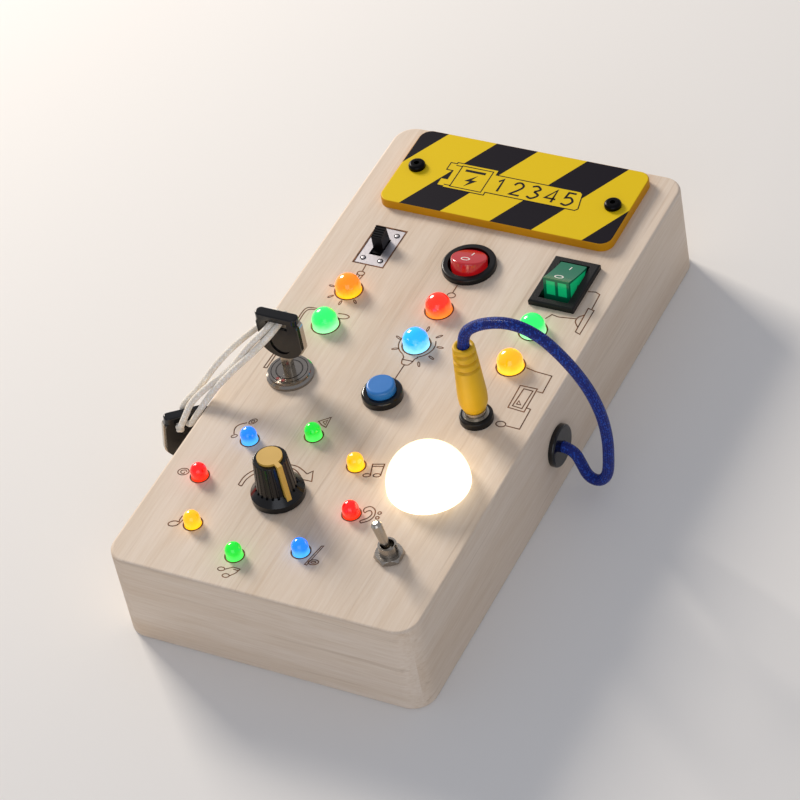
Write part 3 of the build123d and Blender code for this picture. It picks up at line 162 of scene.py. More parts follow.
@lru_cache(maxsize=None)
def material_of(finish: Finish) -> bpy.types.Material:
    """Returns the one material of a finish, made on first use."""
    material = bpy.data.materials.new(finish.name)
    material.use_nodes = True
    tree = material.node_tree
    tree.nodes.clear()
    add(tree, "OutputMaterial", {"Surface": finish.surface(tree)})
    return material


@dataclass(frozen=True)
class Moulded(Finish):
    """Injection-moulded ABS or nylon: even colour, a fine mould grain, soft highlights.

    The grain is drawn coarser than the real one, so that it shows.
    """

    colour: str = "#202020"
    roughness: float = 0.4
    grain_mm: float = 0.5
    grain_depth: float = 0.1
    glow: float = 0.0
    coat: float = 0.0
    specular: float = 0.5

    def surface(self, tree: bpy.types.NodeTree) -> bpy.types.Node:
        """Adds the nodes.

        Args:
            tree: The material's node tree.

        Returns:
            A principled plastic whose colour and gloss vary a little over its surface.
        """
        broad = add(tree, "TexNoise",
                    {"Vector": scaled_place(tree, 0.12), "Scale": 1.0, "Detail": 3.0})
        shade = add(tree, "MapRange", {"Value": broad, "To Min": 0.9, "To Max": 1.08})
        colour = add(tree, "Mix", {6: linear(self.colour), 7: shade, 0: 1.0},
                     data_type="RGBA", blend_type="MULTIPLY")
        gloss = add(tree, "MapRange",
                    {"Value": broad, "To Min": self.roughness * 0.85,
                     "To Max": min(1.0, self.roughness * 1.2)})
        grain = add(tree, "TexNoise",
                    {"Vector": scaled_place(tree, 1 / self.grain_mm), "Scale": 1.0,
                     "Detail": 2.0})
        bump = add(tree, "Bump",
                   {"Height": grain, "Strength": self.grain_depth, "Distance": 0.1 * MM})
        return add(tree, "BsdfPrincipled",
                   {"Base Color": colour.outputs[2], "Roughness": gloss,
                    "Normal": bump, "IOR": 1.53,
                    "Specular IOR Level": self.specular, "Coat Weight": self.coat,
                    "Coat Roughness": 0.08, "Emission Color": linear(self.colour),
                    "Emission Strength": self.glow})


@dataclass(frozen=True)
class Metal(Finish):
    """Plated or bare metal: a tinted mirror broken by fine polishing lines along one axis.

    The lines are drawn wider than the real ones, so that they show.
    """

    colour: str = "#c9c6c0"
    roughness: float = 0.22
    lines: Axis = Axis.X
    line_mm: float = 0.25
    line_depth: float = 0.05
    stretch: float = 0.08

    def surface(self, tree: bpy.types.NodeTree) -> bpy.types.Node:
        """Adds the nodes.

        Args:
            tree: The material's node tree.

        Returns:
            A principled metal with brushed roughness and a slight bump.
        """
        scale = [1 / self.line_mm] * 3
        scale[self.lines.value] = self.stretch / self.line_mm
        brush = add(tree, "TexNoise", {"Vector": scaled_place(tree, tuple(scale)),
                                       "Scale": 1.0, "Detail": 3.0})
        gloss = add(tree, "MapRange",
                    {"Value": brush, "To Min": self.roughness * 0.6,
                     "To Max": self.roughness * 1.5})
        bump = add(tree, "Bump",
                   {"Height": brush, "Strength": self.line_depth, "Distance": 0.05 * MM})
        return add(tree, "BsdfPrincipled",
                   {"Base Color": linear(self.colour), "Metallic": 1.0,
                    "Roughness": gloss, "Normal": bump})


@dataclass(frozen=True)
class Beech(Finish):
    """Pale close-grained wood, sanded and oiled: faint fibre, broad bands, few dark streaks.

    The grain runs along Y on the top, the underside and the long sides, and along X
    on the two end boards.
    """

    pale: str = "#e6d8c9"
    middle: str = "#dccbb8"
    dark: str = "#cdb69d"
    streak: str = "#a98f75"

    def grain(self, tree: bpy.types.NodeTree, along: bpy.types.NodeSocket, scale: Point,
              detail: float) -> bpy.types.Node:
        """A noise drawn out along the grain.

        Args:
            tree: The node tree.
            along: Place in millimetres, with the grain along its Y.
            scale: Features per millimetre across, along and through.
            detail: How many finer layers it has.

        Returns:
            The noise, from 0 to 1.
        """
        drawn = add(tree, "VectorMath", {0: along, 1: scale}, operation="MULTIPLY")
        return add(tree, "TexNoise", {"Vector": drawn, "Scale": 1.0,
                                      "Detail": detail, "Roughness": 0.6})

    def surface(self, tree: bpy.types.NodeTree) -> bpy.types.Node:
        """Adds the nodes.

        Args:
            tree: The material's node tree.

        Returns:
            A principled wood with fibres 0.7 mm wide, bands 12 mm wide and streaks of 1 mm.
        """
        place = scaled_place(tree, 1.0)
        parts = add(tree, "SeparateXYZ", {0: place})
        turned = add(tree, "CombineXYZ",
                     {0: parts.outputs[1], 1: parts.outputs[0], 2: parts.outputs[2]})
        normal = add(tree, "SeparateXYZ", {0: add(tree, "NewGeometry").outputs["True Normal"]})
        facing = add(tree, "Math", {0: normal.outputs[1]}, operation="ABSOLUTE")
        on_end = add(tree, "Math", {0: facing, 1: 0.7}, operation="GREATER_THAN")
        along = add(tree, "Mix", {0: on_end, 4: place, 5: turned},
                    data_type="VECTOR").outputs[1]
        fibre = self.grain(tree, along, (1.4, 0.06, 1.4), 3.0)
        band = self.grain(tree, along, (0.08, 0.005, 0.08), 2.0)
        vein = self.grain(tree, along, (0.5, 0.012, 0.5), 3.0)
        bands = add(tree, "ValToRGB", {0: band},
                    ((0.32, self.dark), (0.5, self.middle), (0.68, self.pale)))
        fibres = add(tree, "ValToRGB", {0: fibre},
                     ((0.25, self.dark), (0.55, self.middle), (0.8, self.pale)))
        wood = add(tree, "Mix", {0: 0.45, 6: fibres, 7: bands}, data_type="RGBA")
        streaked = add(tree, "MapRange",
                       {"Value": vein, "From Min": 0.6, "From Max": 0.76, "To Max": 0.45})
        colour = add(tree, "Mix", {0: streaked, 6: wood.outputs[2], 7: linear(self.streak)},
                     data_type="RGBA")
        height = add(tree, "Math", {0: fibre, 1: streaked}, operation="SUBTRACT")
        bump = add(tree, "Bump", {"Height": height, "Strength": 0.35, "Distance": 0.12 * MM})
        gloss = add(tree, "MapRange", {"Value": fibre, "To Min": 0.5, "To Max": 0.68})
        return add(tree, "BsdfPrincipled",
                   {"Base Color": colour.outputs[2], "Roughness": gloss,
                    "Normal": bump, "IOR": 1.46})


@dataclass(frozen=True)
class StripedEnamel(Finish):
    """Yellow enamelled board with slanted dark bands on its top face only, and painted shade on
    its sides.
    """

    yellow: str = "#e6c514"
    # Painted shade: the deeper orange that the plate's sides take in place of the yellow.
    edge: str = "#d2930f"
    dark: str = "#100a16"
    centre_y: float = 79.2
    slant: float = 0.525
    pitch: float = 31.5
    dark_width: float = 14.4

    def surface(self, tree: bpy.types.NodeTree) -> bpy.types.Node:
        """Adds the nodes.

        A band's place is x less the slant times the distance from the plate's middle line,
        and it is dark where that lies within half a dark width of a multiple of the pitch.

        Args:
            tree: The material's node tree.

        Returns:
            A principled enamel with crisp bands.
        """
        parts = add(tree, "SeparateXYZ", {0: scaled_place(tree, 1.0)})
        rise = add(tree, "Math", {0: parts.outputs[1], 1: self.centre_y}, operation="SUBTRACT")
        lean = add(tree, "Math", {0: rise, 1: -self.slant,
                                  2: parts.outputs[0]}, operation="MULTIPLY_ADD")
        shifted = add(tree, "Math", {0: lean, 1: self.pitch / 2}, operation="ADD")
        apart = add(tree, "Math", {0: shifted, 1: self.pitch / 2}, operation="PINGPONG")
        band = add(tree, "Math", {0: apart, 1: self.dark_width / 2}, operation="LESS_THAN")
        normal = add(tree, "SeparateXYZ", {0: add(tree, "NewGeometry").outputs["Normal"]})
        top = add(tree, "Math", {0: normal.outputs[2], 1: 0.9}, operation="GREATER_THAN")
        painted = add(tree, "Math", {0: band, 1: top}, operation="MULTIPLY")
        # Painted shade: yellow on the face that looks up, the deeper orange on the sides.
        ground = add(tree, "Mix",
                     {0: top, 6: linear(self.edge), 7: linear(self.yellow)}, data_type="RGBA")
        colour = add(tree, "Mix",
                     {0: painted, 6: ground.outputs[2], 7: linear(self.dark)}, data_type="RGBA")
        peel = add(tree, "TexNoise", {"Vector": scaled_place(tree, 0.8), "Scale": 1.0})
        bump = add(tree, "Bump", {"Height": peel, "Strength": 0.05, "Distance": 0.1 * MM})
        return add(tree, "BsdfPrincipled",
                   {"Base Color": colour.outputs[2], "Roughness": 0.42,
                    "Normal": bump, "IOR": 1.5, "Specular IOR Level": 0.14})


@dataclass(frozen=True)
class LitResin(Finish):
    """Tinted epoxy lamp, lit from its middle: deep at the rim, pale where the die glows."""

    deep: str = "#c01010"
    bright: str = "#ff6040"
    strength: float = 1.0
    low_mm: float = 32.0
    high_mm: float = 38.0

    def surface(self, tree: bpy.types.NodeTree) -> bpy.types.Node:
        """Adds the nodes.

        Args:
            tree: The material's node tree.

        Returns:
            A glossy resin that gives light, palest near its foot and deeper to its tip.
        """
        parts = add(tree, "SeparateXYZ", {0: scaled_place(tree, 1.0)})
        cloud = add(tree, "TexNoise", {"Vector": scaled_place(tree, 0.35), "Scale": 1.0})
        level = add(tree, "MapRange",
                    {"Value": parts.outputs[2], "From Min": self.low_mm,
                     "From Max": self.high_mm, "To Min": 0.15, "To Max": 0.95})
        mixed = add(tree, "Math", {0: cloud, 1: 0.35, 2: level}, operation="MULTIPLY_ADD")
        glow = add(tree, "ValToRGB", {0: mixed}, ((0.34, self.bright), (0.82, self.deep)))
        return add(tree, "BsdfPrincipled",
                   {"Base Color": linear(self.deep), "Roughness": 0.18, "IOR": 1.55,
                    "Coat Weight": 0.5, "Coat Roughness": 0.05,
                    "Emission Color": glow, "Emission Strength": self.strength})


@dataclass(frozen=True)
class Braid(Finish):
    """Braided yarn sleeve: crossing strands, with painted shade between them and a painted glint
    here and there.

    It reads the piece's UV map, in metres: U goes round and V along.
    """

    yarn: str = "#22368f"
    glint: str = "#7f90d6"
    strand_mm: float = 1.0
    glint_share: float = 0.12
    depth: float = 0.6
    weave_shade: float = 0.7
    roughness: float = 0.75
    sheen: float = 0.3
    specular: float = 0.5

    def surface(self, tree: bpy.types.NodeTree) -> bpy.types.Node:
        """Adds the nodes.

        Two diagonal places, U plus V and U less V over the strand's width, give each
        strand a round back; which set lies on top alternates like a chessboard.

        Args:
            tree: The material's node tree.

        Returns:
            A woven cloth with sheen.
        """
        place = add(tree, "TexCoord").outputs["UV"]
        parts = add(tree, "SeparateXYZ", {0: place})
        width = self.strand_mm * MM
        floors, backs = [], []
        for way in ("ADD", "SUBTRACT"):
            cross = add(tree, "Math", {0: parts.outputs[0], 1: parts.outputs[1]}, operation=way)
            count = add(tree, "Math", {0: cross, 1: 1 / width}, operation="MULTIPLY")
            floors.append(add(tree, "Math", {0: count}, operation="FLOOR"))
            turn = add(tree, "Math", {0: count, 1: math.pi}, operation="MULTIPLY")
            wave = add(tree, "Math", {0: turn}, operation="SINE")
            backs.append(add(tree, "Math", {0: wave}, operation="ABSOLUTE"))
        total = add(tree, "Math", {0: floors[0], 1: floors[1]}, operation="ADD")
        over = add(tree, "Math", {0: total, 1: 1.0}, operation="PINGPONG")
        height = add(tree, "Mix", {0: over, 2: backs[0], 3: backs[1]}, data_type="FLOAT")
        cell = add(tree, "CombineXYZ", {0: floors[0], 1: floors[1]})
        chance = add(tree, "TexWhiteNoise", {"Vector": cell})
        # Painted glints: a share of the crossings takes the lighter colour.
        glinting = add(tree, "Math", {0: chance, 1: self.glint_share}, operation="LESS_THAN")
        base = add(tree, "Mix",
                   {0: glinting, 6: linear(self.yarn), 7: linear(self.glint)}, data_type="RGBA")
        # Painted shade: the colour falls between the strands to the given floor and rises a
        # little on their backs, a painted highlight.
        weave_shade = add(tree, "MapRange", {"Value": height, "To Min": self.weave_shade, "To Max": 1.08})
        colour = add(tree, "Mix", {0: 1.0, 6: base.outputs[2], 7: weave_shade},
                     data_type="RGBA", blend_type="MULTIPLY")
        bump = add(tree, "Bump",
                   {"Height": height, "Strength": self.depth, "Distance": 0.25 * MM})
        return add(tree, "BsdfPrincipled",
                   {"Base Color": colour.outputs[2], "Roughness": self.roughness,
                    "Normal": bump, "Specular IOR Level": self.specular,
                    "Sheen Weight": self.sheen, "Sheen Roughness": 0.4})


@dataclass(frozen=True)
class BurntLine(Finish):
    """Laser-burnt wood: brown char, uneven along the line, quite matt."""

    pale: str = "#8a5a34"
    dark: str = "#3d2413"

    def surface(self, tree: bpy.types.NodeTree) -> bpy.types.Node:
        """Adds the nodes.

        Args:
            tree: The material's node tree.

        Returns:
            A matt char whose depth of burn varies every few millimetres.
        """
        burn = add(tree, "TexNoise",
                   {"Vector": scaled_place(tree, 0.5), "Scale": 1.0, "Detail": 3.0})
        colour = add(tree, "ValToRGB", {0: burn}, ((0.3, self.dark), (0.7, self.pale)))
        return add(tree, "BsdfPrincipled", {"Base Color": colour, "Roughness": 0.85})


@dataclass(frozen=True)
class MattPaint(Finish):
    """Flat matt paint, as on the studio's floor."""

    colour: str = "#e9e8e6"
    roughness: float = 0.8

    def surface(self, tree: bpy.types.NodeTree) -> bpy.types.Node:
        """Adds the one shader node, without pattern or bump."""
        return add(tree, "BsdfPrincipled",
                   {"Base Color": linear(self.colour), "Roughness": self.roughness})


# Sanded, oiled beech is pale and barely glossy; where it is burnt it is brown and matt.
WOOD = Beech("beech_oiled")
# The char colour also paints shade in the gaps round the lamps and the slide switch's plate.
CHAR = BurntLine("beech_laser_burnt")
# Sprayed enamel gives strong flat colours with a dull sheen.
SIGN = StripedEnamel("sign_enamel_striped")
SIGN_INK = Moulded("sign_ink", "#100a16", roughness=0.5, grain_depth=0.02, specular=0.14)
SIGN_YELLOW = Moulded("sign_yellow_label", "#e6c514", roughness=0.42, grain_depth=0.02,
                      specular=0.14)
# Black plastics: satin from a plain mould, pebbled from an etched one, or polished.
BLACK_SATIN = Moulded("abs_black_satin", "#0b0a0c", roughness=0.3, specular=0.3)
BLACK_KNOB = Moulded("abs_black_fluted", "#0a090a", roughness=0.2, grain_depth=0.04,
                     specular=0.4)
BLACK_GRAINED = Moulded("nylon_black_grained", "#0e0f11", roughness=0.42, grain_mm=0.45,
                        grain_depth=0.9, specular=0.3)
BLACK_GLOSS = Moulded("abs_black_polished", "#08080a", roughness=0.14, grain_depth=0.02,
                      specular=0.4, coat=0.1)
# Oxide-blackened steel is dark and still shines like metal.
BLACK_SCREW = Metal("steel_black_oxide", "#1c1b1d", roughness=0.3)
# Clear green plastic over a lamp has a hard gloss and glows a little.
GREEN_DEEP = Moulded("polycarbonate_green_deep", "#06704f", roughness=0.14, grain_depth=0.03,
                     glow=0.06, coat=0.25)
# The bright pane green also paints the reflection on the rocker's sides.
GREEN_BRIGHT_PANE = Moulded("polycarbonate_green_bright_pane", "#10ad6c", roughness=0.16, grain_depth=0.03,
                     glow=0.4, coat=0.3)
# Coloured ABS is even and satin; the plug's PVC is softer and duller.
BLUE_ABS = Moulded("abs_blue", "#2a7ccc", roughness=0.35)
CAP_YELLOW = Moulded("abs_ochre", "#d6ac4c", roughness=0.42)
PLUG_YELLOW = Moulded("pvc_yellow", "#e0b010", roughness=0.4, grain_depth=0.15, specular=0.35)
# Nickel is a warm grey mirror where polished and streaky where brushed; zinc is duller.
NICKEL = Metal("nickel_plate_polished", "#bdb6ab", roughness=0.18)
# Painted shade: a darker copy of polished nickel for the toggle's bushing and nut.
NICKEL_SHADED = Metal("nickel_plate_shaded", "#aaa49c", roughness=0.26)
# Painted shade: a darker copy of polished nickel for the lock.
NICKEL_LOCK = Metal("nickel_plate_lock_shaded", "#a39c94", roughness=0.15)
NICKEL_BRUSHED = Metal("nickel_plate_brushed", "#c8c5ca", roughness=0.42, lines=Axis.Y,
                       line_mm=0.15, line_depth=0.2)
ZINC = Metal("steel_zinc_plated", "#b9bab6", roughness=0.35)
CELL = Metal("cell_can_steel", "#8f9499", roughness=0.3)
# The boards' green mask is semi-gloss and their spacers are plain white nylon.
FIBREGLASS = Moulded("circuit_board_mask", "#14512f", roughness=0.3, grain_mm=0.3)
NYLON_WHITE = Moulded("nylon_white", "#d9d8d2", roughness=0.5)
# Lit polycarbonate is pale near its lamp and deeper away from it.
RED_CLEAR = LitResin("polycarbonate_red_lit", "#a3121a", "#f01a0a", 0.42, 32.0, 36.6)
MILK_DOME = LitResin("polycarbonate_milk_lit", "#ffe7b8", "#fff6df", 1.9, 30.0, 46.0)
# Printed and enamelled marks are flat and even.
MARK_WHITE = Moulded("pad_print_white", "#f6f2ec", roughness=0.5, grain_depth=0.02)
DOT_RED = Moulded("enamel_dot_red", "#8e1616", roughness=0.3, grain_depth=0.02)
# Sixteen shiny strands go round the plug's cord and eight of dull cotton round the lanyard.
# Both braids paint shade between their strands and glints on some of their crossings.
SLEEVE_NAVY = Braid("polyester_braid_navy", "#082482", "#1c49b4", strand_mm=0.687,
                    glint_share=0.25, weave_shade=0.4, roughness=0.4, sheen=0.0, specular=0.3)
COTTON = Braid("cotton_braid_white", "#f6eddd", "#fffaf0", strand_mm=0.785,
               glint_share=0.4, depth=0.5, weave_shade=0.84, roughness=0.9)
FLOOR_PALE = MattPaint("studio_floor_pale")


# ---------------------------------------------------------------- mesh builders
def ring_faces(rows: int, columns: int, loop: bool = False) -> list[list[int]]:
    """Quads between rings of points, and a cap on each end where they don't close.

    Args:
        rows: How many rings.
        columns: Points round each ring.
        loop: True where the last ring joins the first.

    Returns:
        Point numbers of each face: the quads, ring by ring, and then the two caps.
    """
    r, c = np.meshgrid(np.arange(rows if loop else rows - 1), np.arange(columns),
                       indexing="ij")
    here, there = r * columns, ((r + 1) % rows) * columns
    side = (c + 1) % columns
    quads = np.stack([here + c, here + side, there + side, there + c], -1)
    faces = quads.reshape(-1, 4).tolist()
    if not loop:
        last = (rows - 1) * columns
        faces += [list(range(columns))[::-1], list(range(last, last + columns))]
    return faces


def carried(points: Array, place: Matrix) -> Array:
    """Points taken to a place: turned by its matrix and then moved."""
    turn = np.array(place)
    return points @ turn[:3, :3].T + turn[:3, 3]


def new_object(name: str, data: bpy.types.ID) -> bpy.types.Object:
    """Makes an object and links it to the scene."""
    made = bpy.data.objects.new(name, data)
    bpy.context.scene.collection.objects.link(made)
    return made


def make_piece(name: str, points: Array, faces: list[list[int]], finish: Finish,
               smooth: bool = True) -> bpy.types.Object:
    """Makes a mesh object at the origin from points in millimetres.

    Args:
        name: The piece's name.
        points: One row for each point.
        faces: Point numbers of each face.
        finish: What it is made of.
        smooth: True for smooth shading.

    Returns:
        The object, linked to the scene.
    """
    mesh = bpy.data.meshes.new(name)
    mesh.from_pydata((np.asarray(points) * MM).tolist(), [], faces)
    mesh.polygons.foreach_set("use_smooth", [smooth] * len(mesh.polygons))
    mesh.materials.append(material_of(finish))
    mesh.update()
    LOG.info("%s: %d faces, %s", name, len(mesh.polygons), finish.name)
    return new_object(name, mesh)


def settle(piece: bpy.types.Object, body: str) -> bpy.types.Object:
    """Rides a piece on a body."""
    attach(piece, body)
    return piece


def frames_along(path: Array) -> tuple[Array, Array]:
    """Two side directions at each station of a path, without twist.

    Each first side is the one before it, less its part along the new direction; the
    second is the direction crossed with the first.

    Args:
        path: Points of the path.

    Returns:
        The first and second side of every station.
    """
    ahead = np.gradient(path, axis=0)
    ahead /= np.linalg.norm(ahead, axis=1, keepdims=True)
    start = np.eye(3)[np.argmin(np.abs(ahead[0]))]
    sides = []
    for direction in ahead:
        start = start - direction * (start @ direction)
        start = start / np.linalg.norm(start)
        sides.append(start)
    first = np.array(sides)
    return first, np.cross(ahead, first)


def tube_points(path: Array, radius: float, around: int, loop: bool = False) -> Array:
    """Rings of points carried along a path.

    Each point is the path's point plus the radius times the cosine of the angle along the
    first side and the sine along the second.

    Args:
        path: Stations, in millimetres.
        radius: Half of the thickness.
        around: Points round each station.
        loop: True where the last station joins the first.

    Returns:
        The points, ring by ring.
    """
    sides = frames_along(np.vstack([path, path[:1]]) if loop else path)
    first, second = (side[:len(path), None] for side in sides)
    angle = np.linspace(0, 2 * math.pi, around, endpoint=False)[None, :, None]
    ring = np.cos(angle) * first + np.sin(angle) * second
    return (path[:, None] + radius * ring).reshape(-1, 3)


def tube_piece(name: str, path: Array, radius: float, finish: Finish,
               around: int) -> bpy.types.Object:
    """A closed tube carried along a path, with a UV map in metres.

    Its U is the arc round the tube and its V the way gone along the path.

    Args:
        name: The piece's name.
        path: Stations, in millimetres.
        radius: Half of its thickness.
        finish: What it is made of.
        around: Points round each station.

    Returns:
        The tube.
    """
    points = tube_points(path, radius, around)
    piece = make_piece(name, points, ring_faces(len(path), around), finish)
    steps = np.r_[0, np.cumsum(np.linalg.norm(np.diff(path, axis=0), axis=1))]
    r, c = np.meshgrid(np.arange(len(path) - 1), np.arange(around), indexing="ij")
    girth = 2 * math.pi * radius / around
    u = np.stack([c, c + 1, c + 1, c], -1) * girth
    v = np.stack([steps[r], steps[r], steps[r + 1], steps[r + 1]], -1)
    flat = np.zeros((len(piece.data.loops), 2))
    flat[:u.size] = np.stack([u, v], -1).reshape(-1, 2) * MM
    layer = piece.data.uv_layers.new(name="UVMap")
    layer.data.foreach_set("uv", flat.ravel())
    return piece


def turned_piece(name: str, heights: Array, radii: Array, finish: Finish, place: Matrix,
                 body: str) -> bpy.types.Object:
    """A closed body turned about an axis, whose radius may also change round it.

    Each point is the radius at its height and angle, times the cosine and the sine of the
    angle, with the height along the axis. Both ends run in to the axis and are closed there.

    Args:
        name: The piece's name.
        heights: The height of each station.
        radii: A row of radii for each station, one for each angle.
        finish: What it is made of.
        place: Where its axis stands, in millimetres.
        body: The body that it rides on.

    Returns:
        The piece.
    """
    around = radii.shape[1]
    angle = np.linspace(0, 2 * math.pi, around, endpoint=False)[None, :]
    tall = np.broadcast_to(heights[:, None], radii.shape)
    points = np.stack([radii * np.cos(angle), radii * np.sin(angle), tall], -1).reshape(-1, 3)
    piece = make_piece(name, carried(points, place), ring_faces(len(heights), around), finish)
    return settle(piece, body)


def spline_path(points: Sequence[Point], resolution: int = 12) -> Array:
    """Samples a smooth NURBS line through control points.

    Args:
        points: Control points, in metres.
        resolution: Samples for each span.

    Returns:
        Points along the line, in millimetres.
    """
    route = bpy.data.curves.new("route", "CURVE")
    route.dimensions = "3D"
    spline = route.splines.new("NURBS")
    spline.points.add(len(points) - 1)
    for target, point in zip(spline.points, points):
        target.co = (*point, 1.0)
    spline.order_u = 3
    spline.use_endpoint_u = True
    route.resolution_u = resolution
    carrier = new_object("route", route)
    mesh = bpy.data.meshes.new_from_object(carrier)
    flat = np.zeros(len(mesh.vertices) * 3)
    mesh.vertices.foreach_get("co", flat)
    bpy.data.objects.remove(carrier)
    bpy.data.curves.remove(route)
    bpy.data.meshes.remove(mesh)
    return flat.reshape(-1, 3) / MM


# ---------------------------------------------------------------- flat marks
def line(*points: tuple[float, float]) -> Array:
    """Straight runs between points."""
    return np.array(points, float)


def curve(*points: tuple[float, float]) -> Array:
    """A smooth line through points.

    Between two points it is the cubic that leaves each one along the line between its
    neighbours.

    Args:
        *points: Points that it goes through.

    Returns:
        Eight points for each span.
    """
    p = np.array(points, float)
    p = np.vstack([2 * p[0] - p[1], p, 2 * p[-1] - p[-2]])
    t = np.linspace(0, 1, 8, endpoint=False)[None, :, None]
    a, b, c, d = (p[i:len(p) - 3 + i][:, None] for i in range(4))
    spans = 0.5 * (2 * b + (c - a) * t + (2 * a - 5 * b + 4 * c - d) * t ** 2
                   + (3 * b - a - 3 * c + d) * t ** 3)
    return np.vstack([spans.reshape(-1, 2), p[-2]])


def oval(x: float, y: float, long: float, short: float, turn: float = 0.0,
         start: float = 0.0, end: float = 360.0) -> Array:
    """Points of an oval or a part of it.

    Args:
        x: Its centre.
        y: Its centre.
        long: Half of its length.
        short: Half of its width.
        turn: Degrees from X to its length.
        start: Where the arc begins, in degrees.
        end: Where the arc ends.

    Returns:
        The points, in order.
    """
    whole = abs(end - start) >= 360
    a = np.radians(np.linspace(start, end, 28, endpoint=not whole))
    t = math.radians(turn)
    along, across = long * np.cos(a), short * np.sin(a)
    return np.c_[x + along * math.cos(t) - across * math.sin(t),
                 y + along * math.sin(t) + across * math.cos(t)]


def on_circle(x: float, y: float, radius: float, angle: float) -> tuple[float, float]:
    """The point of a circle round x and y at an angle in degrees."""
    a = math.radians(angle)
    return x + radius * math.cos(a), y + radius * math.sin(a)


@dataclass
class Strokes:
    """Lines of a fixed width, each a thin closed strip, gathered into one mesh."""

    width: float = 0.4
    low: float = -0.15
    high: float = 0.03
    points: list[Array] = field(default_factory=list)
    faces: list[list[int]] = field(default_factory=list)
    count: int = 0

    def gather(self, points: Array, faces: list[list[int]]) -> None:
        """Adds a closed shape to the mesh, its faces numbered on from those before it."""
        self.points.append(points)
        self.faces.extend([self.count + i for i in face] for face in faces)
        self.count += len(points)

    def draw(self, path: Array, closed: bool = False, width: float | None = None) -> None:
        """Adds one line.

        Its section is a low box: half a width to each side of the path, from low to high.
        Its sides are moved out at a corner by one over the cosine of half the turn.

        Args:
            path: Points of the line.
            closed: True where the end meets the start.
            width: Its own width, where it isn't the usual one.
        """
        if closed:
            before, after = np.roll(path, 1, 0), np.roll(path, -1, 0)
        else:
            before = np.vstack([2 * path[0] - path[1], path[:-1]])
            after = np.vstack([path[1:], 2 * path[-1] - path[-2]])
        into = path - before
        out = after - path
        into /= np.linalg.norm(into, axis=1, keepdims=True)
        out /= np.linalg.norm(out, axis=1, keepdims=True)
        mean = into + out
        mean /= np.maximum(np.linalg.norm(mean, axis=1, keepdims=True), 1e-6)
        corner = np.clip((mean * into).sum(1), 0.6, 1.0)
        half = (width or self.width) / 2 / corner
        side = np.c_[-mean[:, 1], mean[:, 0]] * half[:, None]
        left, right = path + side, path - side
        n = len(path)
        low, high = np.full((n, 1), self.low), np.full((n, 1), self.high)
        ring = np.stack([np.hstack([left, low]), np.hstack([left, high]),
                         np.hstack([right, high]), np.hstack([right, low])], 1)
        self.gather(ring.reshape(-1, 3), ring_faces(n, 4, closed))

    def run(self, *points: tuple[float, float], closed: bool = False,
            width: float | None = None) -> None:
        """Adds straight runs between points, closed where the last one meets the first."""
        self.draw(line(*points), closed, width)

    def bend(self, *points: tuple[float, float], width: float | None = None) -> None:
        """Adds an open smooth line through points."""
        self.draw(curve(*points), False, width)

    def ring(self, x: float, y: float, long: float, short: float, turn: float = 0.0,
             width: float | None = None) -> None:
        """Adds a whole oval, with the sizes that oval() takes."""
        self.draw(oval(x, y, long, short, turn), True, width)

    def fill(self, outline: Array) -> None:
        """Adds a filled flat shape.

        Args:
            outline: Its corners, counterclockwise.
        """
        n = len(outline)
        bottom = np.c_[outline, np.full(n, self.low)]
        top = np.c_[outline, np.full(n, self.high)]
        self.gather(np.vstack([bottom, top]), ring_faces(2, n))

    def piece(self, name: str, finish: Finish, place: Matrix, body: str,
              slot: str) -> bpy.types.Object:
        """Makes the mesh of all the lines.

        Args:
            name: The piece's name.
            finish: What it is made of.
            place: Where its plane lies, in millimetres.
            body: The body that it rides on.
            slot: Not used.

        Returns:
            The piece.
        """
        points = carried(np.vstack(self.points), place)
        return settle(make_piece(name, points, self.faces, finish, smooth=False), body)


# ---------------------------------------------------------------- sub-assemblies
@dataclass
class Dressing:
    """Gives CAD nodes their finishes."""

    nodes: Mapping[str, bpy.types.Object]

    def put(self, finish: Finish, *names: str) -> None:
        """Puts one finish on several nodes.

        Args:
            finish: The finish.
            *names: Names of the nodes.
        """
        for name in names:
            node = self.nodes[name]
            for holder in node.material_slots:
                holder.material = material_of(finish)
            LOG.info("%s: %s", name, finish.name)


@dataclass
class WoodenCase:
    """Block, base cover, battery box and their screws."""

    dressing: Dressing

    def build(self) -> None:
        """Dresses the case."""
        put = self.dressing.put
        put(WOOD, "wood_body", "base_cover")
        put(ZINC, "cover_screws", "board_screws", "battery_contacts", "switch_terminals",
            "lamp_leads")
        put(BLACK_GRAINED, "battery_door", "battery_holder")
        put(CELL, "battery_cells")
        put(FIBREGLASS, "ring_light_board", "controller_board", "dome_light_board")
        put(NYLON_WHITE, "board_spacers")


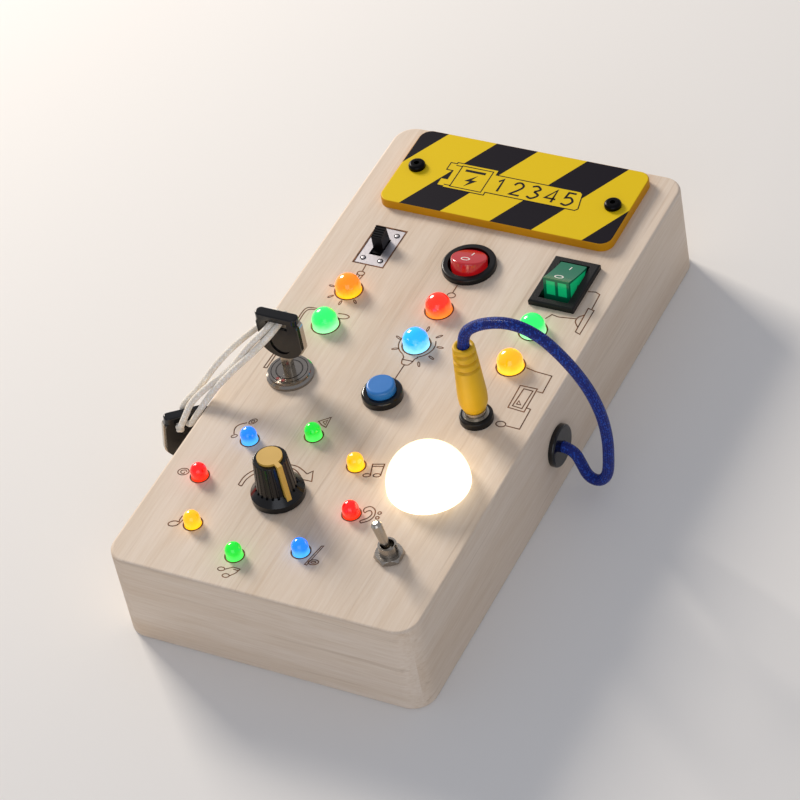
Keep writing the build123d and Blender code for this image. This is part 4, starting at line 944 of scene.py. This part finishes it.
@dataclass
class SignPlate:
    """Striped plate with its screws and a numbered label."""

    dressing: Dressing
    top: float = PANEL_TOP + 3.0
    centre_y: float = 78.2
    cell_left: float = -22.0
    cell_right: float = -7.6
    cell_low: float = -5.7
    cell_high: float = 6.4
    pole_left: float = -24.2
    pole_feet: tuple[float, float] = (-5.2, 2.4)
    pole_height: float = 3.4
    strip: tuple[tuple[float, float], ...] = (
        (-7.6, -4.3), (23.2, -4.3), (24.0, -3.4), (22.6, 3.4), (21.6, 4.2), (-7.6, 4.2))
    digits: int = 5
    digit_left: float = -6.0
    digit_low: float = -2.9
    digit_pitch: float = 5.9
    digit_width: float = 3.6

    def digit(self, number: int) -> list[Array]:
        """Strokes of a digit in a box 1 wide and 1.6 high.

        Args:
            number: From 1 to 5.

        Returns:
            Its lines.
        """
        shapes = {
            1: [line((0.15, 1.25), (0.5, 1.6), (0.5, 0.0))],
            2: [np.vstack([curve((0.05, 1.2), (0.25, 1.52), (0.6, 1.57), (0.9, 1.25),
                                 (0.75, 0.8), (0.05, 0.0)), [(0.98, 0.0)]])],
            3: [curve((0.05, 1.45), (0.5, 1.6), (0.88, 1.25), (0.45, 0.87)),
                curve((0.45, 0.87), (0.95, 0.5), (0.5, 0.0), (0.0, 0.15))],
            4: [line((0.75, 0.0), (0.75, 1.6), (0.0, 0.45), (1.0, 0.45))],
            5: [np.vstack([[(0.9, 1.6), (0.2, 1.6), (0.12, 0.9)],
                           curve((0.12, 0.9), (0.6, 1.0), (0.93, 0.55), (0.55, 0.02),
                                 (0.0, 0.12))[1:]])],
        }
        return shapes[number]

    def build(self) -> None:
        """Dresses the plate and adds its label: a battery with a bolt, and plain numbers."""
        self.dressing.put(SIGN, "sign_plate")
        self.dressing.put(BLACK_SCREW, "sign_screws")
        place = Matrix.Translation((0, self.centre_y, self.top))
        left, right, low, high = self.cell_left, self.cell_right, self.cell_low, self.cell_high
        poles = [line((left, foot + self.pole_height), (self.pole_left, foot + self.pole_height),
                      (self.pole_left, foot), (left, foot)) for foot in self.pole_feet]
        strip = line(*self.strip)
        ground = Strokes(low=-0.1, high=0.02)
        ground.fill(line((left, low), (right, low), (right, high), (left, high)))
        for shape in (*poles, strip):
            ground.fill(shape)
        ground.piece("sign_label", SIGN_YELLOW, place, "case", "sign_yellow")
        ink = Strokes(width=0.34, low=-0.05, high=0.05)
        ink.draw(np.vstack([poles[0], line((left, low), (right, low)), strip,
                            line((right, high), (left, high)), poles[1]]), closed=True)
        ink.run((-19.8, -4.7), (-9.0, -4.7), (-9.0, 5.3), (-19.8, 5.3), closed=True)
        for y in (-4.4, 5.0):
            ink.run((left, y), (-19.8, y))
        ink.fill(line((-18.0, 3.1), (-11.0, 3.1), (-11.0, 4.1), (-18.0, 4.1)))
        ink.fill(line((-15.6, -3.6), (-12.3, -0.3), (-14.2, -0.3), (-13.0, 2.1),
                      (-16.3, -1.1), (-14.5, -1.1)))
        for index in range(self.digits):
            corner = (self.digit_left + index * self.digit_pitch, self.digit_low)
            for stroke in self.digit(index + 1):
                ink.draw(stroke * self.digit_width + corner, width=0.75)
        ink.piece("sign_ink_lines", SIGN_INK, place, "case", "sign_yellow")


@dataclass
class Switches:
    """Slide switch, two rockers, toggle, push button and the rotary knob."""

    dressing: Dressing
    rocker_tilt: float = 20.0
    rocker_pivot: float = PANEL_TOP + 1.0
    red_x: float = 0.7
    red_y: float = 43.8
    red_r: float = 5.7
    red_top: float = 2.6
    red_depth: float = 3.4
    red_edge: float = 0.6
    green_x: float = 32.9
    green_y: float = 44.0
    green_mark_top: float = 3.78
    green_half: float = 4.3
    green_top: float = 4.0
    green_reach: float = 6.6
    green_lean: float = 11.8
    pane_width: float = 2.9
    pane_height: float = 4.95
    pane_x: float = 1.925
    pane_drop: float = 3.4
    flank: tuple[tuple[float, float], ...] = ((-4.2, -3.2), (4.2, -3.2), (5.5, 3.1),
                                              (-5.5, 3.1))
    slide_x: float = -30.6
    slide_y: float = 44.2
    slide_half: tuple[float, float] = (5.2, 8.7)
    rivet_r: float = 0.62
    rivet_reach: tuple[float, float] = (3.0, 6.0)
    button_y: float = -15.8
    spring_r: float = 2.5
    wire_r: float = 0.22
    spring_turns: float = 3.5
    spring_reach: float = 3.6
    spring_pressed: float = 0.72

    def tilted(self, x: float, y: float) -> Matrix:
        """The place of a rocker's pins, turned with the rocker."""
        return (Matrix.Translation((x, y, self.rocker_pivot))
                @ Matrix.Rotation(math.radians(-self.rocker_tilt), 4, "X"))

    def rocker_marks(self, name: str, pins: Matrix, height: float, slope: float, body: str,
                     slot: str) -> None:
        """Line and ring marks on a rocker's top, tilted with it.

        Args:
            name: The piece's name.
            pins: Where the rocker turns.
            height: The top's height over the pins.
            slope: Where along the top each mark is.
            body: The rocker's body.
            slot: The rocker's slot.
        """
        place = pins @ Matrix.Translation((0, 0, height))
        marks = Strokes(width=0.34, low=-0.12, high=0.05)
        marks.run((0.3, slope - 1.0), (0.3, slope + 1.0))
        marks.ring(-0.3, -slope, 1.3, 0.95)
        marks.piece(name, MARK_WHITE, place, body, slot)

    def coil_spring(self) -> None:
        """The push button's spring, at one length, though the real one shortens as the button
        goes down.

        Its line is a circle's cosine and sine, with a height that grows with the turn.
        """
        t = np.linspace(0, 1, 190)
        turn = 2 * math.pi * self.spring_turns * t
        foot = -self.spring_reach
        rise = foot + self.wire_r + (2 * self.spring_reach - 2 * self.wire_r) * t
        path = np.c_[self.spring_r * np.cos(turn), self.button_y + self.spring_r * np.sin(turn),
                     PANEL_TOP + rise]
        spring = tube_piece("coil_spring", path, self.wire_r, ZINC, around=10)
        settle(spring, "case")
        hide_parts("button_spring")
        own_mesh(spring)

    def round_cap(self) -> None:
        """The round rocker's low drum on half a ball, tilted about its pins.

        Its radius follows a profile: a flat top with an eased edge, a straight rim, and
        below the pins the square root of the ball's radius squared less the depth squared.
        """
        ball, ease = self.red_r, self.red_edge
        deep = np.linspace(-self.red_depth, 0, 18)
        turn = np.radians(np.linspace(0, 90, 8))
        heights = np.r_[deep[0], deep, self.red_top - ease + ease * np.sin(turn), self.red_top]
        radii = np.r_[NEAR_AXIS, np.sqrt(ball ** 2 - deep ** 2),
                      ball - ease + ease * np.cos(turn), NEAR_AXIS]
        cap = turned_piece("round_rocker_cap", heights, np.repeat(radii[:, None], 96, 1),
                           RED_CLEAR, self.tilted(self.red_x, self.red_y), "red_rocker")
        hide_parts("red_rocker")

    def green_panes(self) -> None:
        """Bright panes of the green rocker: two in each end's recesses, and on each side one of
        painted reflection.

        Each pane is a flat shape on a plane that is turned out from the rocker's middle,
        and the whole rocker is tilted about its pins.
        """
        middle = self.tilted(self.green_x, self.green_y)
        upright = Matrix.Rotation(math.radians(90), 4, "X")
        half, low, high = self.pane_width / 2, -self.pane_height / 2, self.pane_height / 2
        pane = line((-half, low), (half, low), (half, high), (-half, high))
        for turn, end in ((0, "front"), (180, "rear")):
            lit = Strokes(low=-0.29, high=-0.1)
            for side in (-1, 1):
                lit.fill(pane + (side * self.pane_x, -self.pane_drop))
            wall = (middle @ Matrix.Rotation(math.radians(turn), 4, "Z")
                    @ Matrix.Translation((0, -self.green_reach, self.green_top))
                    @ Matrix.Rotation(math.radians(self.green_lean), 4, "X") @ upright)
            lit.piece(f"rocker_panes_{end}", GREEN_BRIGHT_PANE, wall, "green_rocker", "clear_green")
        # Painted reflection: a bright glowing pane over most of each side.
        for turn, end in ((90, "right"), (-90, "left")):
            lit = Strokes(low=-0.1, high=0.03)
            lit.fill(line(*self.flank))
            wall = (middle @ Matrix.Rotation(math.radians(turn), 4, "Z")
                    @ Matrix.Translation((0, -self.green_half, 0)) @ upright)
            lit.piece(f"rocker_side_reflection_{end}", GREEN_BRIGHT_PANE, wall, "green_rocker", "clear_green")

    def slide_edges(self) -> None:
        """Brown gap round the slide switch's plate, and a rivet in each of its holes, both with
        painted shade.

        A rivet's head is a cap of a ball: its height falls with the square of its radius.
        """
        place = Matrix.Translation((self.slide_x, self.slide_y, PANEL_TOP))
        wide, long = self.slide_half
        # The laser-cut edge's brown, with painted shade of the gap round the plate.
        gap = Strokes(width=0.5, low=-0.2, high=0.03)
        gap.run((-wide, -long), (wide, -long), (wide, long), (-wide, long), closed=True)
        gap.piece("slide_plate_edges", CHAR, place, "case", "wood")
        # Painted shade: a dark ring round each rivet, where its groove lies.
        rings = Strokes(low=-0.2, high=0.02)
        out = np.linspace(self.rivet_r, 0.02, 8)
        heights = np.r_[-0.2, 0.1 - 0.2 * out ** 2]
        radii = np.repeat(np.r_[self.rivet_r, out][:, None], 24, 1)
        across, along = self.rivet_reach
        spots = [(x, y) for x in (-across, across) for y in (-along, along)]
        for number, (x, y) in enumerate(spots, 1):
            rings.ring(x, y, 0.8, 0.8, width=0.28)
            turned_piece(f"slide_rivet_{number}", heights, radii, NICKEL_BRUSHED,
                         place @ Matrix.Translation((x, y, 0)), "case")
        rings.piece("slide_rivet_shade_rings", BLACK_SATIN, place, "case", "abs_black")

    def build(self) -> None:
        """Dresses the switches and adds their marks."""
        put = self.dressing.put
        put(NICKEL_BRUSHED, "slide_switch_plate")
        put(BLACK_SATIN, "slide_switch_slider", "slide_switch_body", "toggle_body",
            "round_rocker_housing", "encoder_body", "push_button_nut")
        put(BLACK_GRAINED, "rect_rocker_housing")
        put(GREEN_DEEP, "green_rocker")
        put(BLACK_GLOSS, "push_button_housing")
        put(BLUE_ABS, "blue_button")
        put(NICKEL, "toggle_lever", "encoder_shaft")
        # Painted shade: the toggle's bushing and nut take the darker copy of nickel.
        put(NICKEL_SHADED, "toggle_bushing", "toggle_nut")
        put(BLACK_KNOB, "knob")
        put(CAP_YELLOW, "knob_cap")
        self.coil_spring()
        self.round_cap()
        self.green_panes()
        self.slide_edges()
        self.rocker_marks("round_rocker_marks", self.tilted(self.red_x, self.red_y),
                          height=self.red_top, slope=2.1, body="red_rocker",
                          slot="clear_red")
        self.rocker_marks("rect_rocker_marks", self.tilted(self.green_x, self.green_y),
                          height=self.green_mark_top, slope=3.6, body="green_rocker",
                          slot="clear_green")


@dataclass
class KeyLock:
    """Lock, its key and the spare key."""

    dressing: Dressing
    x: float = -31.3
    y: float = -15.8
    ring_height: float = 2.3
    groove_radii: tuple[float, ...] = (5.65, 4.15)
    dot_ring: float = 4.9
    dot_r: float = 0.55
    dot_angles: tuple[float, ...] = (-109, -86)

    def build(self) -> None:
        """Dresses the lock and keys, with painted shade in the ring's two grooves and two red
        dots.
        """
        put = self.dressing.put
        put(NICKEL, "key_lock_nut", "key_blade", "spare_key_blade")
        # Painted shade: the lock's barrel and plug take the darker copy of nickel.
        put(NICKEL_LOCK, "key_lock_barrel", "lock_plug")
        put(BLACK_GLOSS, "key_bow_cover", "spare_key_bow_cover")
        top = Matrix.Translation((0, 0, PANEL_TOP + self.ring_height))
        # Painted shade: dark lines where the ring's grooves lie.
        turned = Strokes(width=0.22, low=-0.1, high=0.015)
        for radius in self.groove_radii:
            turned.ring(self.x, self.y, radius, radius)
        turned.piece("lock_ring_groove_shade", BLACK_SCREW, top, "case", "nickel")
        dots = Strokes(low=-0.1, high=0.04)
        for angle in self.dot_angles:
            spot = on_circle(self.x, self.y, self.dot_ring, angle)
            dots.fill(oval(*spot, self.dot_r, self.dot_r))
        dots.piece("lock_dots", DOT_RED, top, "case", "nickel")


@dataclass
class LampSet:
    """Fourteen coloured lamps and the dome lamp."""

    dressing: Dressing
    tips: tuple[tuple[str, float], ...] = (("large", PANEL_TOP + 6.0),
                                           ("small", PANEL_TOP + 4.8))
    strength: float = 1.15

    def build(self) -> None:
        """Dresses the lamps in their lit resins, each with its deep and its bright tint."""
        tints = {"large": {"red": ("#e8240c", "#ff9434"), "green": ("#22d45c", "#b0ffbc"),
                           "blue": ("#1698ff", "#a8f0ff"), "yellow": ("#ff9a00", "#ffdc3c"),
                           "amber": ("#ff7400", "#ffd020")},
                 "small": {"red": ("#e20a05", "#ff3a1a"), "green": ("#0abc28", "#5cf066"),
                           "blue": ("#0a70ff", "#58c0ff"), "yellow": ("#f0a000", "#ffcc20")}}
        for size, tip in self.tips:
            for colour, (deep, bright) in tints[size].items():
                resin = LitResin(f"epoxy_lamp_{colour}_{size}", deep, bright, self.strength,
                                 PANEL_TOP, tip)
                self.dressing.put(resin, f"{size}_lamps_{colour}")
        self.dressing.put(MILK_DOME, "dome_lens")


@dataclass
class PlugAndCord:
    """Socket, plug, cord and the grommet in the side wall."""

    dressing: Dressing
    diameter: float = 3.5
    grip_foot: float = PANEL_TOP + 4.6
    relief_heights: tuple[float, ...] = (17.3, 20.2, 23.1)
    relief_width: float = 1.0
    relief_depth: float = 0.9
    relief_ease: float = 0.12
    spine_angle: float = 0.6
    spine_half: float = 0.42
    spine_ease: float = 0.08
    around: int = 96
    mouth_depth: float = 2.9
    profile: tuple[tuple[float, float], ...] = (
        (0.0, 2.0), (0.05, 3.1), (0.5, 3.45), (1.6, 3.95), (3.0, 4.3), (5.0, 4.42),
        (7.0, 4.38), (12.9, 4.05), (19.3, 3.72), (23.4, 3.42), (24.6, 3.32),
        (24.95, 3.18), (25.1, 2.95))
    route: tuple[Point, ...] = (
        (0.0312, -0.0160, 0.0592), (0.0311, -0.0160, 0.0666), (0.0370, -0.0150, 0.0716),
        (0.0462, -0.0134, 0.0732), (0.0542, -0.0119, 0.0689), (0.0606, -0.0106, 0.0602),
        (0.0656, -0.0092, 0.0498), (0.0682, -0.0079, 0.0384), (0.0685, -0.0068, 0.0272),
        (0.0673, -0.0060, 0.0166), (0.0659, -0.0055, 0.0092), (0.0627, -0.0052, 0.0052),
        (0.0589, -0.0049, 0.0059), (0.0572, -0.0047, 0.0106), (0.0556, -0.0046, 0.0148),
        (0.0518, -0.0046, 0.0164), (0.0472, -0.0046, 0.01625),
    )

    def grip(self) -> bpy.types.Object:
        """The plug's barrel-shaped grip with its relief slots and its mouth for the cord.

        The radius is read from the profile of heights and radii, less the slot's depth
        within half a slot's width of each slot's height, all round but for a spine at the
        back, whose angles are in radians.

        Returns:
            The grip.
        """
        places, widths = np.array(self.profile).T
        tall = places[-1]
        outer = np.unique(np.r_[np.linspace(0, tall, 126), places])
        angle = np.linspace(0, 2 * math.pi, self.around, endpoint=False)
        radius = np.repeat(np.interp(outer, places, widths)[:, None], self.around, 1)
        away = np.abs(np.angle(np.exp(1j * (angle - self.spine_angle)))) - self.spine_half
        spine = np.clip(away / self.spine_ease, 0, 1)
        for at in self.relief_heights:
            edge = (self.relief_width / 2 - np.abs(outer - at)) / self.relief_ease + 0.5
            radius -= self.relief_depth * np.clip(edge, 0, 1)[:, None] * spine[None, :]
        mouth_r = self.diameter / 2 + 0.1
        floor = tall - self.mouth_depth
        mouth = np.array([(tall, mouth_r + 0.25), (tall - 0.3, mouth_r), (floor, mouth_r),
                          (floor, NEAR_AXIS)])
        heights = np.r_[outer, mouth[:, 0]]
        radii = np.vstack([radius, np.repeat(mouth[:, 1:], self.around, 1)])
        head = self.route[0]
        place = Matrix.Translation((head[0] / MM, head[1] / MM, self.grip_foot))
        grip = turned_piece("plug_grip", heights, radii, PLUG_YELLOW, place, "plug")
        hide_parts("plug_shell")
        return grip

    def build(self) -> None:
        """Dresses the plug and socket and lays the braided cord."""
        put = self.dressing.put
        put(NICKEL, "jack_socket", "plug_tip", "plug_collar")
        put(BLACK_SATIN, "jack_ring")
        put(BLACK_GLOSS, "cord_grommet")
        grip = self.grip()
        path = spline_path(self.route)
        cord = tube_piece("braided_plug_cord", path, self.diameter / 2, SLEEVE_NAVY, around=32)
        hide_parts("plug_cord")
        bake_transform(cord)


@dataclass
class Lanyard:
    """Cotton cord that ties the spare key to the key in the lock."""

    dressing: Dressing
    diameter: float = 2.0
    knot_r: float = 1.7
    route: tuple[Point, ...] = (
        (-0.0306, -0.0122, 0.0541), (-0.0308, -0.0192, 0.0540), (-0.0360, -0.0232, 0.0484),
        (-0.0426, -0.0282, 0.0426), (-0.0482, -0.0328, 0.0368), (-0.0526, -0.0382, 0.0300),
        (-0.05505, -0.0396, 0.0260), (-0.0598, -0.0350, 0.0260),
        (-0.0594, -0.0348, 0.0296), (-0.0542, -0.0312, 0.0348),
        (-0.0496, -0.0274, 0.0416), (-0.0446, -0.0214, 0.0466),
        (-0.0404, -0.0124, 0.0476), (-0.0360, -0.0106, 0.0530),
        (-0.0330, -0.0120, 0.0543), (-0.0332, -0.0192, 0.0541),
        (-0.0384, -0.0226, 0.0494), (-0.0442, -0.0274, 0.0414),
        (-0.0494, -0.0316, 0.0382), (-0.0546, -0.0364, 0.0336),
        (-0.0552, -0.0401, 0.0308), (-0.05675, -0.04216, 0.0271),
    )

    def knot(self, name: str, centre: Array, along: Array, body: str) -> bpy.types.Object:
        """A small overhand knot: a cord that goes round itself.

        Its line is a trefoil: the sum of a turn at twice the angle and a smaller one,
        with a height that rises and falls three times.

        Args:
            name: The piece's name.
            centre: The knot's middle.
            along: The cord's direction there.
            body: The body that it rides on.

        Returns:
            The knot.
        """
        t = np.linspace(0, 2 * math.pi, 73)[:-1]
        # The line reaches 1.9 sizes out and the cord 1.15 more, just inside the knot's radius.
        size = self.knot_r * 0.3
        flat = np.c_[np.sin(t) + 2 * np.sin(2 * t), np.cos(t) - 2 * np.cos(2 * t),
                     -1.1 * np.sin(3 * t)] * size / 1.6
        turn = Vector(along).to_track_quat("Z", "Y").to_matrix().to_4x4()
        path = carried(flat, Matrix.Translation(centre) @ turn)
        points = tube_points(path, size * 1.15, 10, loop=True)
        piece = make_piece(name, points, ring_faces(len(path), 10, loop=True), COTTON)
        return settle(piece, body)

    def build(self) -> None:
        """Lays the cord through both keys and ties its ends."""
        path = spline_path(self.route)
        cord = tube_piece("cotton_lanyard", path, self.diameter / 2, COTTON, around=20)
        knots = [self.knot("lanyard_knot_key", path[0], path[1] - path[0], "key"),
                 self.knot("lanyard_knot_spare", path[-1], path[-1] - path[-2],
                           "spare_key")]
        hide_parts("lanyard")
        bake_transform(cord)


@dataclass
class Studio:
    """Camera, lamps, world and floor."""

    camera_place: Point = (0.41127, -0.61104, 0.71352)
    right: Point = (0.88848388, 0.43368003, -0.15006007)
    up: Point = (-0.20781563, 0.67177361, 0.71100836)
    back: Point = (0.40915652, -0.60053463, 0.68698551)
    lens: float = 150.54
    sky: float = 0.42
    sky_tint: str = "#f4f6ff"
    floor_half: float = 4000.0

    def camera(self) -> None:
        """Sets up the camera at the object's viewing angle."""
        data = bpy.data.cameras.new("camera")
        data.lens = self.lens
        data.sensor_width = 36.0
        data.clip_start, data.clip_end = 0.05, 20.0
        camera = new_object("camera", data)
        turn = Matrix((self.right, self.up, self.back)).transposed().to_4x4()
        camera.matrix_world = Matrix.Translation(self.camera_place) @ turn
        bpy.context.scene.camera = camera

    def area_light(self, name: str, place: Point, size: float, power: float,
                   colour: str) -> None:
        """Adds a soft light that looks at the board.

        Args:
            name: The light's name.
            place: Where it hangs, in metres.
            size: Length of its side.
            power: Its power in watts.
            colour: Its colour.
        """
        data = bpy.data.lights.new(name, "AREA")
        data.size = size
        data.energy = power
        data.color = linear(colour)[:3]
        turn = Vector(place).to_track_quat("Z", "Y").to_matrix().to_4x4()
        new_object(name, data).matrix_world = Matrix.Translation(place) @ turn

    def world(self) -> None:
        """Even soft light from all round."""
        world = bpy.data.worlds.new("studio_world")
        bpy.context.scene.world = world
        world.use_nodes = True
        tree = world.node_tree
        tree.nodes.clear()
        soft = add(tree, "Background", {0: linear(self.sky_tint), 1: self.sky})
        add(tree, "OutputWorld", {0: soft})

    def floor(self) -> None:
        """A wide pale floor under the board."""
        half = self.floor_half
        square = np.array([(-half, -half, 0), (half, -half, 0), (half, half, 0),
                           (-half, half, 0)])
        floor = make_piece("floor", square, [[0, 1, 2, 3]], FLOOR_PALE, smooth=False)

    def build(self) -> None:
        """Sets up the whole studio."""
        bpy.context.scene.view_settings.view_transform = "Standard"
        self.camera()
        self.area_light("key_light", (-0.95, 0.55, 0.59), size=0.36, power=15.0,
                        colour="#fff4e6")
        self.area_light("fill_light", (0.45, -1.05, 0.5), size=0.9, power=3.0,
                        colour="#f2f5ff")
        self.world()
        self.floor()


@dataclass
class BurntMarks:
    """Marks burnt into the wood: wires, notes, arrow and symbols, with lamp rims of painted
    shade.
    """

    large_lamps: tuple[tuple[float, float], ...] = (
        (-31.1, 23.3), (-31.1, 7.3), (0.0, 23.3), (0.0, 7.3), (31.5, 23.3), (31.5, 7.3))
    ring_x: float = -12.5
    ring_y: float = -62.2
    ring_r: float = 25.2
    large_rim: float = 4.4
    small_rim: float = 2.85
    sun_r: float = 6.0

    def rims(self, marks: Strokes) -> None:
        """A dark rim round each lamp's hole: painted shade of the gap between lamp and wood.

        Args:
            marks: Where the lines are added.
        """
        # Painted shade of each lamp's gap, drawn in the char colour.
        for x, y in self.large_lamps:
            marks.ring(x, y, self.large_rim, self.large_rim, width=0.5)
        for angle in range(0, 360, 45):
            spot = on_circle(self.ring_x, self.ring_y, self.ring_r, angle)
            marks.ring(*spot, self.small_rim, self.small_rim, width=0.45)

    def wires(self, marks: Strokes) -> None:
        """Wire lines between switches and lamps, with their little symbols.

        Args:
            marks: Where the lines are added.
        """
        # The slide switch: a wire and a fuse.
        marks.run((-31.1, 35.3), (-30.9, 32.5))
        marks.ring(-30.9, 31.3, 1.2, 0.9)
        marks.run((-30.9, 30.4), (-30.9, 28.0))
        marks.run((-32.0, 31.0), (-31.7, 28.9), (-30.1, 28.7), (-29.8, 31.0))
        # The round rocker: a wire and a joint.
        marks.run((0.7, 34.9), (0.7, 31.6))
        marks.ring(0.8, 30.3, 1.3, 1.1)
        # The green rocker: a wire to a shaded lamp.
        marks.run((40.6, 43.9), (43.0, 44.4), (44.6, 43.7), (44.9, 37.2))
        marks.run((43.7, 37.1), (45.8, 36.7), (45.8, 25.9), (44.1, 26.5), closed=True)
        marks.bend((43.7, 34.0), (42.4, 32.6), (42.3, 30.6), (43.9, 28.6))
        marks.run((42.0, 31.8), (36.5, 31.0), (34.2, 31.4), (33.0, 29.2))
        # The blue lamp: a bulb with its cap, its wire to the button, and rays.
        marks.draw(oval(0.1, 7.6, 5.7, 5.7, 0.0, 150.0, 245.0))
        marks.draw(oval(0.1, 7.6, 5.7, 5.7, 0.0, -65.0, 30.0))
        marks.bend((-2.2, 2.3), (-1.4, 1.2), (-1.3, 0.0), (-0.6, -1.5), (1.3, -1.5), (2.1, 0.2),
                   (2.2, 1.3), (2.9, 2.4))
        marks.run((-1.2, 0.3), (2.1, 0.4))
        marks.run((0.3, -1.6), (0.2, -9.0))
        for x, y, turn in ((-6.6, 8.5, 155), (-5.5, 3.8, 25), (0.4, 14.6, 95),
                           (5.2, 12.6, 45), (7.5, 8.3, 5), (6.8, 3.5, -25),
                           (4.4, -0.2, -60)):
            marks.ring(x, y, 1.05, 0.3, turn, width=0.3)
        # The yellow lamp: a wire through a box to a ring by the socket.
        marks.run((36.3, 8.0), (39.8, 7.3), (45.1, 7.0), (45.4, -0.4), (43.6, -0.3))
        marks.run((37.7, 0.6), (43.2, 0.7), (43.4, -9.3), (38.0, -8.9), closed=True)
        marks.run((39.3, -0.4), (42.3, -0.5), (42.2, -8.2), (39.0, -7.9), closed=True)
        marks.run((40.0, -5.4), (41.2, -6.9), (39.9, -6.9), closed=True)
        marks.run((43.4, -7.5), (44.8, -7.7), (45.1, -16.2), (40.7, -16.1))
        marks.ring(38.9, -15.9, 1.5, 1.1)
        # The green lamp: a pipe bent over at its top, drawn with two lines.
        marks.draw(np.vstack([line((-39.8, -15.4), (-40.8, -15.4)),
                              curve((-40.7, -10.0), (-40.4, 3.0), (-40.7, 9.6),
                                    (-40.0, 12.3), (-37.5, 12.9), (-34.0, 12.9))]))
        marks.draw(np.vstack([line((-39.8, -15.4)),
                              curve((-39.8, -10.0), (-39.7, 3.0), (-39.9, 9.4),
                                    (-39.2, 11.7), (-37.3, 12.2), (-34.6, 12.2))]))
        marks.bend((-29.5, 12.8), (-27.0, 13.0), (-25.5, 12.4), (-26.2, 11.3), (-28.6, 10.7))
        # The amber lamp: rays of a sun.
        for angle in (178, 225, 270, 315):
            spot = on_circle(*self.large_lamps[0], self.sun_r, angle)
            marks.ring(*spot, 0.95, 0.3, angle, width=0.3)

    def notes(self, marks: Strokes) -> None:
        """Music notes, a clef, a spiral and the turning arrow round the knob.

        Args:
            marks: Where the lines are added.
        """
        # By the red lamp: a spiral.
        marks.ring(-43.3, -62.2, 1.7, 1.35, 20, width=0.3)
        marks.bend((-42.2, -62.0), (-43.0, -61.4), (-44.1, -62.1), (-43.7, -62.9),
                   (-42.8, -62.9), (-42.9, -62.2), width=0.3)
        # By the blue lamp: a horn.
        marks.ring(-35.6, -44.4, 0.95, 0.55, 40, width=0.3)
        marks.bend((-36.1, -43.7), (-36.9, -41.6), (-36.4, -39.7), (-34.5, -38.2), width=0.35)
        marks.ring(-33.0, -37.2, 1.35, 0.85, 55, width=0.3)
        marks.ring(-33.0, -37.2, 0.6, 0.35, 55, width=0.25)
        # Round the knob: a band in two parts, the second with an arrowhead.
        marks.bend((-24.9, -61.9), (-24.7, -58.2), (-22.9, -54.9), (-19.4, -51.5))
        marks.bend((-23.7, -62.2), (-23.5, -58.9), (-21.9, -55.9), (-18.9, -52.8))
        marks.run((-24.9, -61.9), (-23.7, -62.2))
        marks.bend((-14.4, -49.9), (-11.5, -49.9), (-9.3, -50.7), (-7.2, -51.8))
        marks.bend((-14.2, -51.1), (-12.0, -51.2), (-10.2, -52.0), (-8.6, -53.2))
        marks.run((-7.2, -51.8), (-6.0, -50.2), (-4.5, -54.1), (-8.9, -54.3), (-8.6, -53.2))
        # By the yellow lamp: a quarter note.
        marks.draw(oval(-35.9, -81.8, 1.6, 1.0, 25, 30, 330))
        marks.bend((-34.6, -80.9), (-34.9, -79.6), (-34.8, -78.2))
        marks.bend((-34.6, -82.1), (-34.1, -80.6), (-33.8, -79.2))
        # By the green lamp: two joined notes.
        marks.ring(-13.8, -93.3, 1.05, 0.7, 10, width=0.3)
        marks.ring(-11.3, -95.2, 1.05, 0.7, 10, width=0.3)
        marks.run((-12.7, -93.1), (-10.7, -91.6), (-8.4, -91.7), (-9.0, -93.5), (-10.2, -95.0),
                  width=0.3)
        marks.run((-10.4, -92.3), (-8.8, -92.4), width=0.3)
        # By the second blue lamp: a half note.
        marks.run((10.7, -76.1), (10.1, -76.3), (8.6, -84.2), (9.3, -84.3), closed=True,
                  width=0.3)
        marks.ring(10.7, -82.7, 1.5, 0.95, 20, width=0.35)
        marks.ring(10.7, -82.7, 0.7, 0.35, 20, width=0.35)
        # By the second yellow lamp: two eighth notes.
        marks.ring(10.0, -46.9, 1.1, 0.65, 20)
        marks.ring(12.9, -46.0, 1.1, 0.65, 20)
        marks.run((11.0, -46.4), (9.7, -42.3), (13.1, -41.2), (13.9, -45.4))
        marks.run((9.9, -43.1), (13.2, -42.1))
        # By the second red lamp: a bass clef.
        marks.bend((15.4, -60.0), (15.5, -58.9), (16.8, -57.9), (18.6, -58.7), (19.4, -60.8),
                   (18.8, -63.0), (16.9, -64.7))
        marks.bend((15.4, -60.0), (16.2, -60.6), (16.6, -59.9), (17.5, -59.4), (18.4, -60.4),
                   (18.0, -62.2), (16.4, -63.9), (16.9, -64.7))
        marks.ring(20.4, -59.4, 0.5, 0.5, width=0.35)
        marks.ring(20.6, -61.3, 0.5, 0.5, width=0.35)
        # By the second green lamp: a triangle.
        marks.run((-13.9, -31.2), (-11.0, -28.5), (-10.6, -32.8), (-12.3, -32.3), closed=True)
        marks.run((-12.5, -31.0), (-11.5, -30.0), (-11.3, -31.9), closed=True, width=0.3)

    def build(self) -> None:
        """Burns the marks into the panel, with the lamps' rims of painted shade among them."""
        marks = Strokes(width=0.36)
        self.rims(marks)
        self.wires(marks)
        self.notes(marks)
        marks.piece("burnt_marks_and_gap_shade", CHAR, Matrix.Translation((0, 0, PANEL_TOP)), "case",
                    "wood")


def main() -> None:
    """Builds the board's dressed pieces, in order."""
    logging.basicConfig(level=logging.INFO, format="%(message)s")
    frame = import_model()
    Studio().build()
    dressing = Dressing(frame["nodes"])
    PlugAndCord(dressing).build()
    Lanyard(dressing).build()
    WoodenCase(dressing).build()
    SignPlate(dressing).build()
    Switches(dressing).build()
    KeyLock(dressing).build()
    LampSet(dressing).build()
    BurntMarks().build()


if __name__ == "__main__":
    main()
